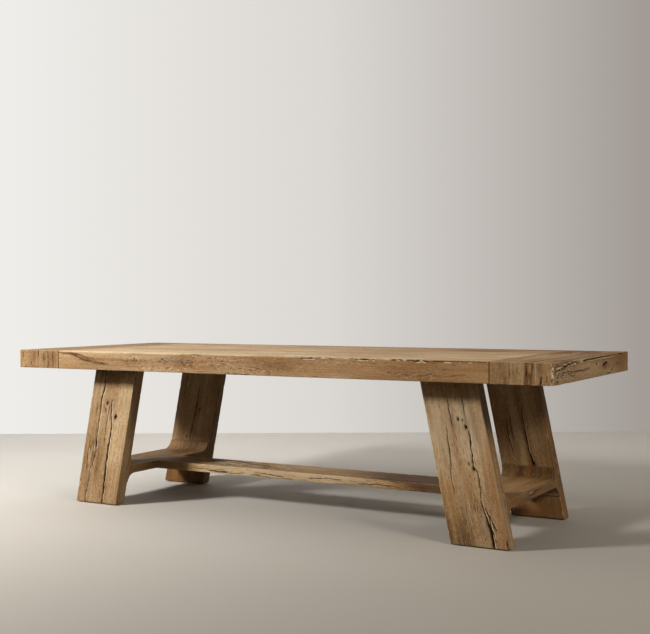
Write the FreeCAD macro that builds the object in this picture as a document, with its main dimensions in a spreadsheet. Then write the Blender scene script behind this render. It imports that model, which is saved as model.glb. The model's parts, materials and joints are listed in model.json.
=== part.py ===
"""Trestle dining table in solid reclaimed oak, built the way a joiner builds it.

The top is seven thick planks joined by loose tongues. Each end of it is capped by a block of four
staves that run across the planks, which holds the planks' end tongues in a stopped groove with pegs
driven from below. Each trestle is a pair of wide slab legs that lean outwards along the table, held
apart by one low rail. The rail is sawn from thick stock, so that its ends flare out in coves to meet
the legs, and twin tenons carry it. A flat stretcher joins the two rails. A steel plate let into the
leg heads ties each trestle together and is bolted up into the planks.

Millimetres. X runs along the table, Y across it and Z up. The origin is on the floor, under the
middle of the top.
"""

import FreeCAD, Part
import os
import re

import Sketcher

SIZES = {
    # Top
    "table_length": 2743,
    "table_width": 1067,
    "table_height": 762,
    "top_thickness": 88,
    "top_edge_round": 3,
    "top_corner_round": 8,
    # Staves of each end cap, from the planks outwards
    "stave_one": 83,
    "stave_two": 51,
    "stave_three": 48,
    "stave_four": 75,
    # Loose tongues between the planks, and the tongues on the planks' ends
    "edge_tongue_thick": 12,
    "edge_tongue_deep": 14,
    "end_tongue_thick": 30,
    "end_tongue_long": 50,
    "end_tongue_stop": 30,
    "end_peg_radius": 6,
    "end_peg_inset": 25,
    "end_peg_cover": 22,
    # Clearances: at a cheek, at the bottom of a mortise or groove, and round a screw or pin
    "cheek_gap": 0.1,
    "bottom_gap": 1.5,
    "thread_gap": 0.05,
    # Legs: level width, thickness across the table, lean, and how far their heads stand in from
    # the top's ends and its long edges
    "leg_width": 254,
    "leg_thickness": 66,
    "leg_lean": 11.6,
    "end_overhang": 367.5,
    "side_overhang": 146.5,
    "leg_round": 3,
    # Rail between the legs of a trestle
    "rail_height": 150,
    "rail_thickness": 40,
    "rail_flare": 45,
    "rail_round": 3,
    "cove_radius": 42,
    "cove_land": 4,
    "rail_tenon_thick": 22,
    "rail_tenon_wide": 70,
    "rail_tenon_long": 42,
    "rail_tenon_spread": 110,
    # Stretcher between the rails
    "stretcher_width": 204,
    "stretcher_thickness": 40,
    "stretcher_round": 3,
    "stretcher_tenon_thick": 18,
    "stretcher_tenon_wide": 130,
    "stretcher_tenon_long": 70,
    "lock_screw_radius": 3,
    "lock_screw_long": 32,
    "lock_screw_spread": 70,
    "lock_screw_inset": 32,
    "lock_head_radius": 6,
    "lock_head_high": 4,
    "lock_head_sunk": 5,
    # Steel plate in the leg heads
    "plate_thick": 8,
    "plate_width": 170,
    "plate_inset": 12,
    "slot_long": 24,
    "slot_radius": 4.5,
    # Countersunk screws from the plate down into each leg
    "leg_screw_radius": 4,
    "leg_screw_long": 85,
    "leg_screw_spread": 60,
    "leg_screw_head": 8,
    # Bolts, washers and inserts that hold the top to the plate
    "bolt_radius": 4,
    "bolt_long": 28,
    "bolt_head_radius": 7.5,
    "bolt_head_high": 5.5,
    "bolt_spread": 110,
    "bolt_row": 240,
    "washer_radius": 10,
    "washer_thick": 2,
    "insert_radius": 6.5,
    "insert_long": 20,
    # Glides under the feet
    "glide_thick": 4,
    "glide_radius": 13,
    "glide_taper": 2,
    "glide_spread": 170,
    "glide_pin_radius": 1.5,
    "glide_pin_long": 16,
}

PLANK_COUNT = 7
STAVES = ["stave_one", "stave_two", "stave_three", "stave_four"]

# Places worked out from the sizes, each from those before it
PLACES = {
    "underside": "table_height - top_thickness",
    "top_middle": "table_height - top_thickness / 2",
    "half_long": "table_length / 2",
    "half_wide": "table_width / 2",
    "shoulder": "half_long - stave_one - stave_two - stave_three - stave_four",
    "plank_width": f"table_width / {PLANK_COUNT}",
    "peg_top": "table_height - end_peg_cover",
    "lean_run": "tan(leg_lean)",
    "leg_reach": "half_long - end_overhang",
    "leg_spread": "half_wide - side_overhang",
    "leg_inside": "leg_spread - leg_thickness",
    "leg_middle": "leg_spread - leg_thickness / 2",
    "head_middle": "leg_reach - leg_width / 2",
    "foot_middle": "head_middle + lean_run * (underside - glide_thick)",
    "rail_top": "rail_height + rail_thickness",
    "rail_centre": "rail_height + rail_thickness / 2",
    "rail_middle": "head_middle + lean_run * (underside - rail_centre)",
    "flare_low": "rail_height - rail_flare",
    "flare_high": "rail_top + rail_flare",
    "stretcher_centre": "rail_top - stretcher_thickness / 2",
    "tenon_reach": "rail_middle - leg_width / 2 + stretcher_tenon_long",
    "lock_screw_place": "rail_middle - leg_width / 2 + lock_screw_inset",
    "plate_low": "underside - plate_thick",
    "washer_low": "plate_low - washer_thick",
    "head_low": "washer_low - bolt_head_high",
}

document = FreeCAD.newDocument("trestle_table")
nodes = []
cuts = []


def fill_sheet(name, cells):
    """Makes a spreadsheet with one named cell for each entry."""
    sheet = document.addObject("Spreadsheet::Sheet", name)
    for row, (alias, content) in enumerate(cells.items(), 1):
        sheet.set(f"A{row}", alias)
        sheet.set(f"B{row}", content)
        sheet.setAlias(f"B{row}", alias)
    return sheet


def bound(expression):
    """The expression with each size and place read from its sheet."""

    def owner(found):
        word = found.group()
        if word in SIZES:
            return f"sizes.{word}"
        return f"places.{word}" if word in PLACES else word

    return re.sub(r"[a-z_]+", owner, str(expression))


def number(expression):
    """The expression's value now."""
    return float(sizes.evalExpression(bound(expression)))


sizes = fill_sheet("sizes", {alias: str(size) for alias, size in SIZES.items()})
places = fill_sheet("places", {alias: "=" + bound(text) for alias, text in PLACES.items()})
document.recompute()


# Sketches and features


def keep(piece, label):
    """Names a finished piece and lists it for export."""
    piece.Label = label
    nodes.append(piece)
    return piece


def new_body(label):
    return keep(document.addObject("PartDesign::Body", label), label)


def new_sketch(body, name, plane, lift="0"):
    """A sketch on one of the body's own origin planes, moved along that plane's normal by lift."""
    sketch = body.newObject("Sketcher::SketchObject", name)
    datum = next(o for o in body.Origin.OriginFeatures if o.Role == plane + "_Plane")
    sketch.AttachmentSupport = (datum, [""])
    sketch.MapMode = "FlatFace"
    sketch.setExpression("AttachmentOffset.Base.z", bound(lift))
    return sketch


def pin_down(sketch, element, end, x, y):
    """Ties a point of the sketch to two expressions, measured from the sketch's origin."""
    for kind, expression in (("DistanceX", x), ("DistanceY", y)):
        index = sketch.addConstraint(
            Sketcher.Constraint(kind, -1, 1, element, end, number(expression))
        )
        sketch.setExpression(f"Constraints[{index}]", bound(expression))


def add_outline(sketch, points):
    """A closed outline of straight lines through points, each a pair of expressions."""
    corners = [FreeCAD.Vector(number(x), number(y), 0) for x, y in points]
    lines = [
        sketch.addGeometry(Part.LineSegment(start, end), False)
        for start, end in zip(corners, corners[1:] + corners[:1])
    ]
    for line, following in zip(lines, lines[1:] + lines[:1]):
        sketch.addConstraint(Sketcher.Constraint("Coincident", line, 2, following, 1))
    for line, (x, y) in zip(lines, points):
        pin_down(sketch, line, 1, x, y)


def add_rectangle(sketch, left, right, low, high):
    add_outline(sketch, [(left, low), (right, low), (right, high), (left, high)])


def add_circles(sketch, centres, radius):
    for x, y in centres:
        centre = FreeCAD.Vector(number(x), number(y), 0)
        circle = Part.Circle(centre, FreeCAD.Vector(0, 0, 1), number(radius))
        element = sketch.addGeometry(circle, False)
        pin_down(sketch, element, 3, x, y)
        index = sketch.addConstraint(Sketcher.Constraint("Radius", element, number(radius)))
        sketch.setExpression(f"Constraints[{index}]", bound(radius))


def pad(body, sketch, length, midplane=False, along_normal=True):
    feature = body.newObject("PartDesign::Pad", "pad_" + sketch.Name)
    feature.Profile = sketch
    feature.Midplane = midplane
    feature.Reversed = not along_normal
    feature.setExpression("Length", bound(length))
    return feature


def pocket(body, sketch, length=None, along_normal=True, taper=None):
    """Cuts the sketch's outlines out of the body, right through both ways if length is None."""
    base = body.Tip
    feature = body.newObject("PartDesign::Pocket", "pocket_" + sketch.Name)
    feature.Profile = sketch
    feature.Reversed = along_normal
    if length is None:
        feature.Type = "ThroughAll"
        feature.Midplane = True
    else:
        feature.setExpression("Length", bound(length))
    if taper is not None:
        feature.setExpression("TaperAngle", bound(taper))
    cuts.append((base, feature))
    return feature


def drill_up(body, name, centres, radius, top):
    """Holes from below, up to the height top."""
    sketch = new_sketch(body, name, "XY")
    add_circles(sketch, centres, radius)
    return pocket(body, sketch, top, along_normal=True)


def drill_down(body, name, centres, radius, start, depth, taper=None):
    """Holes from the height start, down by depth."""
    sketch = new_sketch(body, name, "XY", start)
    add_circles(sketch, centres, radius)
    return pocket(body, sketch, depth, along_normal=False, taper=taper)


def round_edges(body, radius, wanted):
    """Rounds the edges of the body's tip for which wanted(edge) is true."""
    document.recompute()
    base = body.Tip
    names = [f"Edge{n}" for n, edge in enumerate(base.Shape.Edges, 1) if wanted(edge)]
    feature = body.newObject("PartDesign::Fillet", "round_" + body.Name)
    feature.Base = (base, names)
    feature.setExpression("Radius", bound(radius))
    return feature


def near(value, expression):
    return abs(value - number(expression)) < 1e-4


def lies_along(edge, axis):
    """True for a straight edge that runs along that axis: 0 is X, 1 is Y and 2 is Z."""
    if not isinstance(edge.Curve, Part.Line):
        return False
    return abs(abs(edge.Curve.Direction[axis]) - 1) < 1e-6


def at_level(edge, *levels):
    return any(near(edge.CenterOfMass.z, level) for level in levels)


# Round stock for fasteners, as Part primitives


def place(piece, x, y, z):
    for axis, expression in zip("xyz", (x, y, z)):
        piece.setExpression(f"Placement.Base.{axis}", bound(expression))
    return piece


def cylinder(radius, height, x, y, z):
    piece = document.addObject("Part::Cylinder", "cylinder")
    piece.setExpression("Radius", bound(radius))
    piece.setExpression("Height", bound(height))
    return place(piece, x, y, z)


def cone(low_radius, high_radius, height, x, y, z):
    piece = document.addObject("Part::Cone", "cone")
    piece.setExpression("Radius1", bound(low_radius))
    piece.setExpression("Radius2", bound(high_radius))
    piece.setExpression("Height", bound(height))
    return place(piece, x, y, z)


def hexagon(radius, height, x, y, z):
    piece = document.addObject("Part::Prism", "hexagon")
    piece.Polygon = 6
    piece.setExpression("Circumradius", bound(radius))
    piece.setExpression("Height", bound(height))
    return place(piece, x, y, z)


def fused(*members):
    joined = document.addObject("Part::MultiFuse", "fused")
    joined.Shapes = list(members)
    return joined


def bored(blank, bore):
    ring = document.addObject("Part::Cut", "bored")
    ring.Base = blank
    ring.Tool = bore
    return ring


def group(label, members):
    """Identical pieces that share one node, each still its own solid."""
    together = document.addObject("Part::Compound", label)
    together.Links = list(members)
    return keep(together, label)


# Where things are. side is -1 for the left trestle and 1 for the right one; row is -1 for the
# front and 1 for the back.


def leaning(side, reach, height):
    """X of a line that leans with the legs and has that reach at the underside of the top."""
    return f"{side} * ({reach} + lean_run * (underside - ({height})))"


def outer_edge(side, height):
    return leaning(side, "leg_reach", height)


def inner_edge(side, height):
    return leaning(side, "leg_reach - leg_width", height)


def peg_centres(side):
    """One peg for each plank that lies clear of the top's long edges."""
    middle = PLANK_COUNT // 2
    return [
        (f"{side} * (shoulder + end_peg_inset)", f"{row} * plank_width")
        for row in range(1 - middle, middle)
    ]


def bolt_centres(side):
    return [
        (f"{side} * head_middle + {column} * bolt_spread / 2", f"{row} * bolt_row")
        for row in (-1, 0, 1)
        for column in (-1, 1)
    ]


def leg_screw_centres(side, row):
    return [
        (f"{side} * head_middle + {column} * leg_screw_spread", f"{row} * leg_middle")
        for column in (-1, 0, 1)
    ]


def lock_screw_centres(side):
    return [(f"{side} * lock_screw_place", f"{row} * lock_screw_spread / 2") for row in (-1, 1)]


def glide_centres(side, row):
    return [
        (f"{side} * foot_middle + {column} * glide_spread / 2", f"{row} * leg_middle")
        for column in (-1, 1)
    ]


# Top


def make_plank(index):
    """One long plank, grooved along its inner edges, with a tongue at each end."""
    body = new_body(f"plank_{index + 1}")
    first, last = index == 0, index == PLANK_COUNT - 1
    left = f"(-half_wide + {index} * plank_width)"
    right = f"(-half_wide + {index + 1} * plank_width)"
    groove_low = "top_middle - edge_tongue_thick / 2 - cheek_gap"
    groove_high = "top_middle + edge_tongue_thick / 2 + cheek_gap"
    deep = "(edge_tongue_deep + bottom_gap)"
    section = [(left, "underside"), (right, "underside")]
    if not last:
        section += [
            (right, groove_low),
            (f"{right} - {deep}", groove_low),
            (f"{right} - {deep}", groove_high),
            (right, groove_high),
        ]
    section += [(right, "table_height"), (left, "table_height")]
    if not first:
        section += [
            (left, groove_high),
            (f"{left} + {deep}", groove_high),
            (f"{left} + {deep}", groove_low),
            (left, groove_low),
        ]
    sketch = new_sketch(body, f"plank_section_{index + 1}", "YZ")
    add_outline(sketch, section)
    pad(body, sketch, "2 * (shoulder + end_tongue_long)", midplane=True)

    waste = new_sketch(body, f"plank_shoulders_{index + 1}", "XZ")
    beyond = "(shoulder + end_tongue_long + bottom_gap)"
    for side in (-1, 1):
        ends = (f"{side} * shoulder", f"{side} * {beyond}")
        tongue_high = "top_middle + end_tongue_thick / 2"
        tongue_low = "top_middle - end_tongue_thick / 2"
        add_rectangle(waste, *ends, tongue_high, "table_height + bottom_gap")
        add_rectangle(waste, *ends, "underside - bottom_gap", tongue_low)
    pocket(body, waste)

    if first or last:
        row = -1 if first else 1
        stop = new_sketch(body, f"plank_stops_{index + 1}", "XY")
        for side in (-1, 1):
            ends = (f"{side} * shoulder", f"{side} * {beyond}")
            inside = f"{row} * (half_wide - end_tongue_stop)"
            add_rectangle(stop, *ends, inside, f"{row} * (half_wide + bottom_gap)")
        pocket(body, stop)
        round_edges(
            body,
            "top_edge_round",
            lambda edge: lies_along(edge, 0)
            and at_level(edge, "underside", "table_height")
            and near(edge.CenterOfMass.y, f"{row} * half_wide"),
        )

    pegs = [
        centre
        for side in (-1, 1)
        for centre in peg_centres(side)
        if abs(number(centre[1]) - number(f"({left} + {right}) / 2")) < number("plank_width / 2")
    ]
    if pegs:
        drill_up(body, f"plank_peg_holes_{index + 1}", pegs, "end_peg_radius", "peg_top")

    reach = number("insert_radius + thread_gap")
    inserts = [
        centre
        for side in (-1, 1)
        for centre in bolt_centres(side)
        if number(left) - reach < number(centre[1]) < number(right) + reach
    ]
    if inserts:
        name = f"plank_insert_holes_{index + 1}"
        drill_up(body, name, inserts, "insert_radius + thread_gap", "underside + insert_long")


def make_edge_tongue(index):
    """The loose tongue between one plank and the next."""
    body = new_body(f"edge_tongue_{index}")
    seam = f"(-half_wide + {index} * plank_width)"
    sketch = new_sketch(body, f"edge_tongue_section_{index}", "YZ")
    add_rectangle(
        sketch,
        f"{seam} - edge_tongue_deep",
        f"{seam} + edge_tongue_deep",
        "top_middle - edge_tongue_thick / 2",
        "top_middle + edge_tongue_thick / 2",
    )
    pad(body, sketch, "2 * shoulder", midplane=True)


def make_end_cap(name, side):
    """The four staves that run across one end of the top."""
    inner = "shoulder"
    for count, stave in enumerate(STAVES, 1):
        outer = f"({inner} + {stave})"
        body = new_body(f"{name}_end_stave_{count}")
        outline = new_sketch(body, f"{name}_stave_section_{count}", "XZ")
        add_rectangle(outline, f"{side} * {inner}", f"{side} * {outer}", "underside", "table_height")
        pad(body, outline, "table_width", midplane=True)
        if count == 1:
            cut_end_groove(body, name, side)
        if count == len(STAVES):
            round_edges(
                body,
                "top_corner_round",
                lambda edge: lies_along(edge, 2) and near(edge.CenterOfMass.x, f"{side} * half_long"),
            )
        joints = (f"{side} * {inner}", f"{side} * {outer}")
        seams = joints if count < len(STAVES) else joints[:1]
        round_edges(
            body,
            "top_edge_round",
            lambda edge: at_level(edge, "underside", "table_height")
            and not any(near(edge.CenterOfMass.x, seam) for seam in seams),
        )
        if count == 1:
            drill_up(body, f"{name}_peg_holes", peg_centres(side), "end_peg_radius", "peg_top")
        inner = outer


def cut_end_groove(body, name, side):
    """The stopped groove for the planks' end tongues."""
    groove = new_sketch(body, f"{name}_end_groove", "YZ")
    half = "(half_wide - end_tongue_stop + cheek_gap)"
    low = "top_middle - end_tongue_thick / 2 - cheek_gap"
    high = "top_middle + end_tongue_thick / 2 + cheek_gap"
    add_rectangle(groove, f"-{half}", half, low, high)
    pocket(body, groove, "shoulder + end_tongue_long + bottom_gap", along_normal=side > 0)


def make_end_pegs(name, side):
    group(
        f"{name}_end_pegs",
        [
            cylinder("end_peg_radius", "peg_top - underside", x, y, "underside")
            for x, y in peg_centres(side)
        ],
    )


# Trestles


def make_leg(name, side, row):
    """A leaning slab leg, with a notch in its head for the plate and mortises for the rail."""
    body = new_body(name)
    face = f"{-row} * leg_spread"
    outline = new_sketch(body, name + "_outline", "XZ", face)
    add_outline(
        outline,
        [
            (inner_edge(side, "glide_thick"), "glide_thick"),
            (outer_edge(side, "glide_thick"), "glide_thick"),
            (outer_edge(side, "underside"), "underside"),
            (inner_edge(side, "underside"), "underside"),
        ],
    )
    pad(body, outline, "leg_thickness", along_normal=row > 0)
    round_edges(
        body,
        "leg_round",
        lambda edge: not at_level(edge, "underside") and not lies_along(edge, 2),
    )

    notch = new_sketch(body, name + "_head_notch", "XZ")
    half = "(plate_width / 2 + cheek_gap)"
    middle = f"{side} * head_middle"
    add_rectangle(
        notch, f"{middle} - {half}", f"{middle} + {half}", "plate_low", "underside + bottom_gap"
    )
    pocket(body, notch, "leg_spread - plate_inset + cheek_gap", along_normal=row < 0)

    mortise = new_sketch(body, name + "_mortises", "XZ")
    for column in (-1, 1):
        add_tenon_section(mortise, side, column, "cheek_gap")
    pocket(body, mortise, "leg_inside + rail_tenon_long + bottom_gap", along_normal=row < 0)

    screws = leg_screw_centres(side, row)
    radius = "leg_screw_radius + thread_gap"
    drill_down(body, name + "_screw_holes", screws, radius, "underside", "leg_screw_long")
    pins = glide_centres(side, row)
    drill_up(body, name + "_pin_holes", pins, "glide_pin_radius", "glide_thick + glide_pin_long")


def add_tenon_section(sketch, side, column, gap):
    """One of the rail's twin tenons, seen along the table's width, with a gap all round."""
    middle = f"{side} * rail_middle + {column} * rail_tenon_spread / 2"
    half = f"(rail_tenon_wide / 2 + {gap})"
    deep = f"(rail_tenon_thick / 2 + {gap})"
    add_rectangle(
        sketch,
        f"{middle} - {half}",
        f"{middle} + {half}",
        f"rail_centre - {deep}",
        f"rail_centre + {deep}",
    )


def make_rail(name, side):
    """The low rail of a trestle: its faces lean with the legs and its ends flare out in coves."""
    body = new_body(f"{name}_rail")
    blank = new_sketch(body, name + "_rail_blank", "XZ")
    add_outline(
        blank,
        [
            (inner_edge(side, "flare_low"), "flare_low"),
            (outer_edge(side, "flare_low"), "flare_low"),
            (outer_edge(side, "flare_high"), "flare_high"),
            (inner_edge(side, "flare_high"), "flare_high"),
        ],
    )
    pad(body, blank, "2 * leg_inside", midplane=True)

    waste = new_sketch(body, name + "_rail_waste", "YZ")
    half = "(leg_inside - cove_land)"
    add_rectangle(waste, f"-{half}", half, "rail_top", "flare_high + bottom_gap")
    add_rectangle(waste, f"-{half}", half, "flare_low - bottom_gap", "rail_height")
    pocket(body, waste)
    round_edges(
        body,
        "cove_radius",
        lambda edge: lies_along(edge, 0)
        and at_level(edge, "rail_top", "rail_height")
        and near(abs(edge.CenterOfMass.y), half),
    )
    round_edges(body, "rail_round", lambda edge: is_rail_arris(edge, half))

    tenons = new_sketch(body, name + "_rail_tenons", "XZ")
    for column in (-1, 1):
        add_tenon_section(tenons, side, column, "0")
    pad(body, tenons, "2 * (leg_inside + rail_tenon_long)", midplane=True)

    mortise = new_sketch(body, name + "_rail_mortise", "YZ")
    wide = "(stretcher_tenon_wide / 2 + cheek_gap)"
    deep = "(stretcher_tenon_thick / 2 + cheek_gap)"
    low, high = f"stretcher_centre - {deep}", f"stretcher_centre + {deep}"
    add_rectangle(mortise, f"-{wide}", wide, low, high)
    pocket(body, mortise, "tenon_reach + bottom_gap", along_normal=side > 0)

    screws = lock_screw_centres(side)
    head, head_top = "lock_head_radius + thread_gap", "rail_height + lock_head_sunk + lock_head_high"
    drill_up(body, name + "_lock_heads", screws, head, head_top)
    shank, tip = "lock_screw_radius + thread_gap", "rail_height + lock_head_sunk + lock_screw_long"
    drill_up(body, name + "_lock_shanks", screws, shank, tip)


def is_rail_arris(edge, half):
    """True for the long arrises of a rail between its flared ends, the coves' arcs among them."""
    return not lies_along(edge, 0) and abs(edge.CenterOfMass.y) < number(half) + 1e-4


def make_stretcher():
    """The flat board between the rails, with a tenon at each end."""
    body = new_body("long_stretcher")
    low = "(rail_top - stretcher_thickness)"
    outline = new_sketch(body, "stretcher_outline", "XZ")
    add_outline(
        outline,
        [
            (inner_edge(-1, low), low),
            (inner_edge(1, low), low),
            (inner_edge(1, "rail_top"), "rail_top"),
            (inner_edge(-1, "rail_top"), "rail_top"),
        ],
    )
    pad(body, outline, "stretcher_width", midplane=True)
    round_edges(body, "stretcher_round", lambda edge: lies_along(edge, 0))

    tenon = new_sketch(body, "stretcher_tenons", "XZ")
    half = "stretcher_tenon_thick / 2"
    low, high = f"stretcher_centre - {half}", f"stretcher_centre + {half}"
    add_rectangle(tenon, "-tenon_reach", "tenon_reach", low, high)
    pad(body, tenon, "stretcher_tenon_wide", midplane=True)

    screws = lock_screw_centres(-1) + lock_screw_centres(1)
    shank, tip = "lock_screw_radius + thread_gap", "rail_height + lock_head_sunk + lock_screw_long"
    drill_up(body, "stretcher_screw_holes", screws, shank, tip)


# Steel plates and fasteners


def make_plate(name, side):
    """The steel plate between the leg heads: slots for the bolts, countersinks for the screws."""
    body = new_body(f"{name}_head_plate")
    blank = new_sketch(body, name + "_plate_blank", "XY", "plate_low")
    middle = f"{side} * head_middle"
    end = "(leg_spread - plate_inset)"
    add_rectangle(
        blank, f"{middle} - plate_width / 2", f"{middle} + plate_width / 2", f"-{end}", end
    )
    pad(body, blank, "plate_thick")

    slots = new_sketch(body, name + "_slots", "XY", "underside")
    ends = new_sketch(body, name + "_slot_ends", "XY", "underside")
    half = "(slot_long / 2 - slot_radius)"
    for x, y in bolt_centres(side):
        low, high = f"{y} - {half}", f"{y} + {half}"
        add_rectangle(slots, f"{x} - slot_radius", f"{x} + slot_radius", low, high)
        add_circles(ends, [(x, low), (x, high)], "slot_radius")
    pocket(body, slots, "plate_thick", along_normal=False)
    pocket(body, ends, "plate_thick", along_normal=False)

    screws = leg_screw_centres(side, -1) + leg_screw_centres(side, 1)
    radius = "leg_screw_radius + thread_gap"
    drill_down(body, name + "_plate_screw_holes", screws, radius, "underside", "plate_thick")
    drill_down(
        body,
        name + "_countersinks",
        screws,
        "leg_screw_head + thread_gap",
        "underside",
        "leg_screw_head - leg_screw_radius",
        taper="-45",
    )


def make_leg_screws(name, side):
    """Countersunk screws: a 45 degree cone for the head on a plain shank."""
    head = "(leg_screw_head - leg_screw_radius)"
    screws = []
    for x, y in leg_screw_centres(side, -1) + leg_screw_centres(side, 1):
        shank_low = "(underside - leg_screw_long + bottom_gap)"
        shank = cylinder("leg_screw_radius", f"underside - {shank_low}", x, y, shank_low)
        flare = cone("leg_screw_radius", "leg_screw_head", head, x, y, f"underside - {head}")
        screws.append(fused(shank, flare))
    group(f"{name}_leg_screws", screws)


def make_top_bolts(name, side):
    bolts, washers, inserts = [], [], []
    for x, y in bolt_centres(side):
        head = hexagon("bolt_head_radius", "bolt_head_high", x, y, "head_low")
        bolts.append(fused(head, cylinder("bolt_radius", "bolt_long", x, y, "washer_low")))
        ring = cylinder("washer_radius", "washer_thick", x, y, "washer_low")
        bore = cylinder("bolt_radius + thread_gap", "washer_thick", x, y, "washer_low")
        washers.append(bored(ring, bore))
        sleeve = cylinder("insert_radius", "insert_long", x, y, "underside")
        thread = cylinder("bolt_radius + thread_gap", "insert_long", x, y, "underside")
        inserts.append(bored(sleeve, thread))
    group(f"{name}_top_bolts", bolts)
    group(f"{name}_bolt_washers", washers)
    group(f"{name}_top_inserts", inserts)


def make_lock_screws(name, side):
    """Screws driven up through the rail into the stretcher's tenon."""
    seat = "rail_height + lock_head_sunk"
    screws = []
    for x, y in lock_screw_centres(side):
        head = cylinder("lock_head_radius", "lock_head_high", x, y, seat)
        screws.append(fused(head, cylinder("lock_screw_radius", "lock_screw_long", x, y, seat)))
    group(f"{name}_lock_screws", screws)


def make_glides(name, side, row):
    """Two glides under one foot, each a tapered disc on a pin."""
    glides = []
    for x, y in glide_centres(side, row):
        disc = cone("glide_radius - glide_taper", "glide_radius", "glide_thick", x, y, "0")
        pin = cylinder("glide_pin_radius", "glide_pin_long", x, y, "glide_thick")
        glides.append(fused(disc, pin))
    group(f"{name}_glides", glides)


def build():
    for index in range(PLANK_COUNT):
        make_plank(index)
    for index in range(1, PLANK_COUNT):
        make_edge_tongue(index)
    for name, side in (("left", -1), ("right", 1)):
        make_end_cap(name, side)
        make_end_pegs(name, side)
        for corner, row in (("front", -1), ("back", 1)):
            make_leg(f"{name}_{corner}_leg", side, row)
            make_glides(f"{name}_{corner}", side, row)
        make_rail(name, side)
        make_plate(name, side)
        make_leg_screws(name, side)
        make_top_bolts(name, side)
        make_lock_screws(name, side)
    make_stretcher()
    document.recompute()


def check():
    """Stops with a message if anything failed to build or a cut took nothing away."""
    for piece in document.Objects:
        if {"Invalid", "Error"} & set(piece.State):
            raise RuntimeError(f"{piece.Label} failed: {piece.State}")
    for base, cut in cuts:
        if cut.Shape.Volume > base.Shape.Volume - 1:
            raise RuntimeError(f"{cut.Name} cuts nothing")
    for piece in nodes:
        if piece.Shape.isNull() or not piece.Shape.isValid():
            raise RuntimeError(f"{piece.Label} has no valid shape")


def export():
    os.makedirs("parts", exist_ok=True)
    for piece in nodes:
        piece.Shape.exportStep(f"parts/{piece.Label}.step")
        print(f"{piece.Label}: {len(piece.Shape.Solids)} solids, {piece.Shape.Volume / 1e3:.0f} cm3")


build()
check()
export()
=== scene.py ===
import json
import math
from dataclasses import dataclass, field, replace

import bpy
import numpy as np
from mathutils import Matrix, Vector


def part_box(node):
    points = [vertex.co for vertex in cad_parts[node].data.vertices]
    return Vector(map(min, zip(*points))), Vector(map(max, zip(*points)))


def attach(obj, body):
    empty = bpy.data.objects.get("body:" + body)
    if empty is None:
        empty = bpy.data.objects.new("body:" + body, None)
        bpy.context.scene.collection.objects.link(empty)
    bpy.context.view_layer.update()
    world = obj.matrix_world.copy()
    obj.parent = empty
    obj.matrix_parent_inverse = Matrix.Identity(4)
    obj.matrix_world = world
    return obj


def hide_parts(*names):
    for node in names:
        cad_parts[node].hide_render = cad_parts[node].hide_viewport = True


# Looks of the trestle table: reclaimed oak boards with their splits, knots and worn arrises, over
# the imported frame. Boards are worked out in millimetres, and their meshes are made in metres.

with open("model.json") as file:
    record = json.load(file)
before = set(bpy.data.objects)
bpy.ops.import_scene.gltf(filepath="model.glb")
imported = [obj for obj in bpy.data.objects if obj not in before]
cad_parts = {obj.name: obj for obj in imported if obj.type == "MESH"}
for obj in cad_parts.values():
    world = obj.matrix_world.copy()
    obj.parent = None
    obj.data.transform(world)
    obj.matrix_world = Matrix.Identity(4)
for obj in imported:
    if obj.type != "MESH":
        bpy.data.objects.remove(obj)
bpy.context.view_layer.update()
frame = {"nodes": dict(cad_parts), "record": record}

MM = 0.001
METRE = 1000  # in mm
PLANK_COUNT = 7
STAVE_COUNT = 4
SIDE = {"left": -1, "right": 1}
ROW = {"front": -1, "back": 1}
LEG_WIDTH = 254
COVE_RADIUS = 42
COVE_LAND = 4  # from the end of each cove to the leg
COVE_WALL = 3  # height gained over that land
COVE_JOINTS = (103, 237)  # heights where the coves of the rails end on the legs
TURN_SHARE = 0.86  # of the rows between the start of a cove and the leg, those that go round it
ARRIS = 3  # rounding of the arrises that show
EASED = 1.2  # rounding of the edges along a glued seam
TOUCH = 3  # how far a board's hidden end runs on into its neighbour
WHOLE = 300  # a reach that covers the whole width of any face

FINE, FAIR, HIDDEN = 1.9, 4.5, 14  # steps across faces in full view, underneath, and in seams
JOINT_STEP = HIDDEN / 3  # across the seams between staves
LEG_STEPS = {"front": (1.3, FINE), "back": (1.6, 1.6)}  # across the front and the back face
SEED_STEP = 97  # between the random seeds of one board and the next
GRAIN_APART = 4000  # between the stretches of grain that two boards are cut from

# A board's own axes, and which of them run along x, y and z where it lies along or across the table
AXES = {"wide": 0, "deep": 1, "long": 2}
ALONG_TABLE = [2, 0, 1]
ACROSS_TABLE = [1, 2, 0]

# Size of the noise that makes marks uneven, across and along, in mm
BLOBS = {
    "wander": (9, 26),
    "waver": (4, 9),
    "opening": (10, 14),
    "band": (18, 44),
    "cloud": (12, 36),
    "shade": (7, 22),
    "knot": (3, 3),
}
# Size of the noise that shapes the surface, in mm along the board's own axes
RELIEF = {
    "wear": (30, 30, 70),
    "chips": (9, 9, 16),
    "dents": (22, 22, 38),
    "waves": (90, 90, 380),
    "ridges": (5, 5, 110),
    "fibres": (2.6, 2.6, 30),
    "pulled": (5, 5, 42),
}

# A widely used integer hash: primes for the three places and the seed, then shifts with primes
PLACE_PRIMES = (374761393, 668265263, 2246822519)
SEED_PRIME = 40503
MIXING = ((15, 2654435761), (13, 1274126177))
LAST_SHIFT = 16


# Noise


def hashed(cell, seed):
    """A number from -1 to 1 for each whole-number cell: the sum of its places times their primes,
    mixed by shifting it, comparing it bit by bit with itself and multiplying it by a prime."""
    code = np.full(cell.shape[:-1], seed * SEED_PRIME % 2**32, np.uint32)
    for axis, prime in enumerate(PLACE_PRIMES):
        code += cell[..., axis].astype(np.uint32) * np.uint32(prime)
    for shift, prime in MIXING:
        code = (code ^ (code >> np.uint32(shift))) * np.uint32(prime)
    code ^= code >> np.uint32(LAST_SHIFT)
    return code.astype(float) / 2**31 - 1


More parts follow.
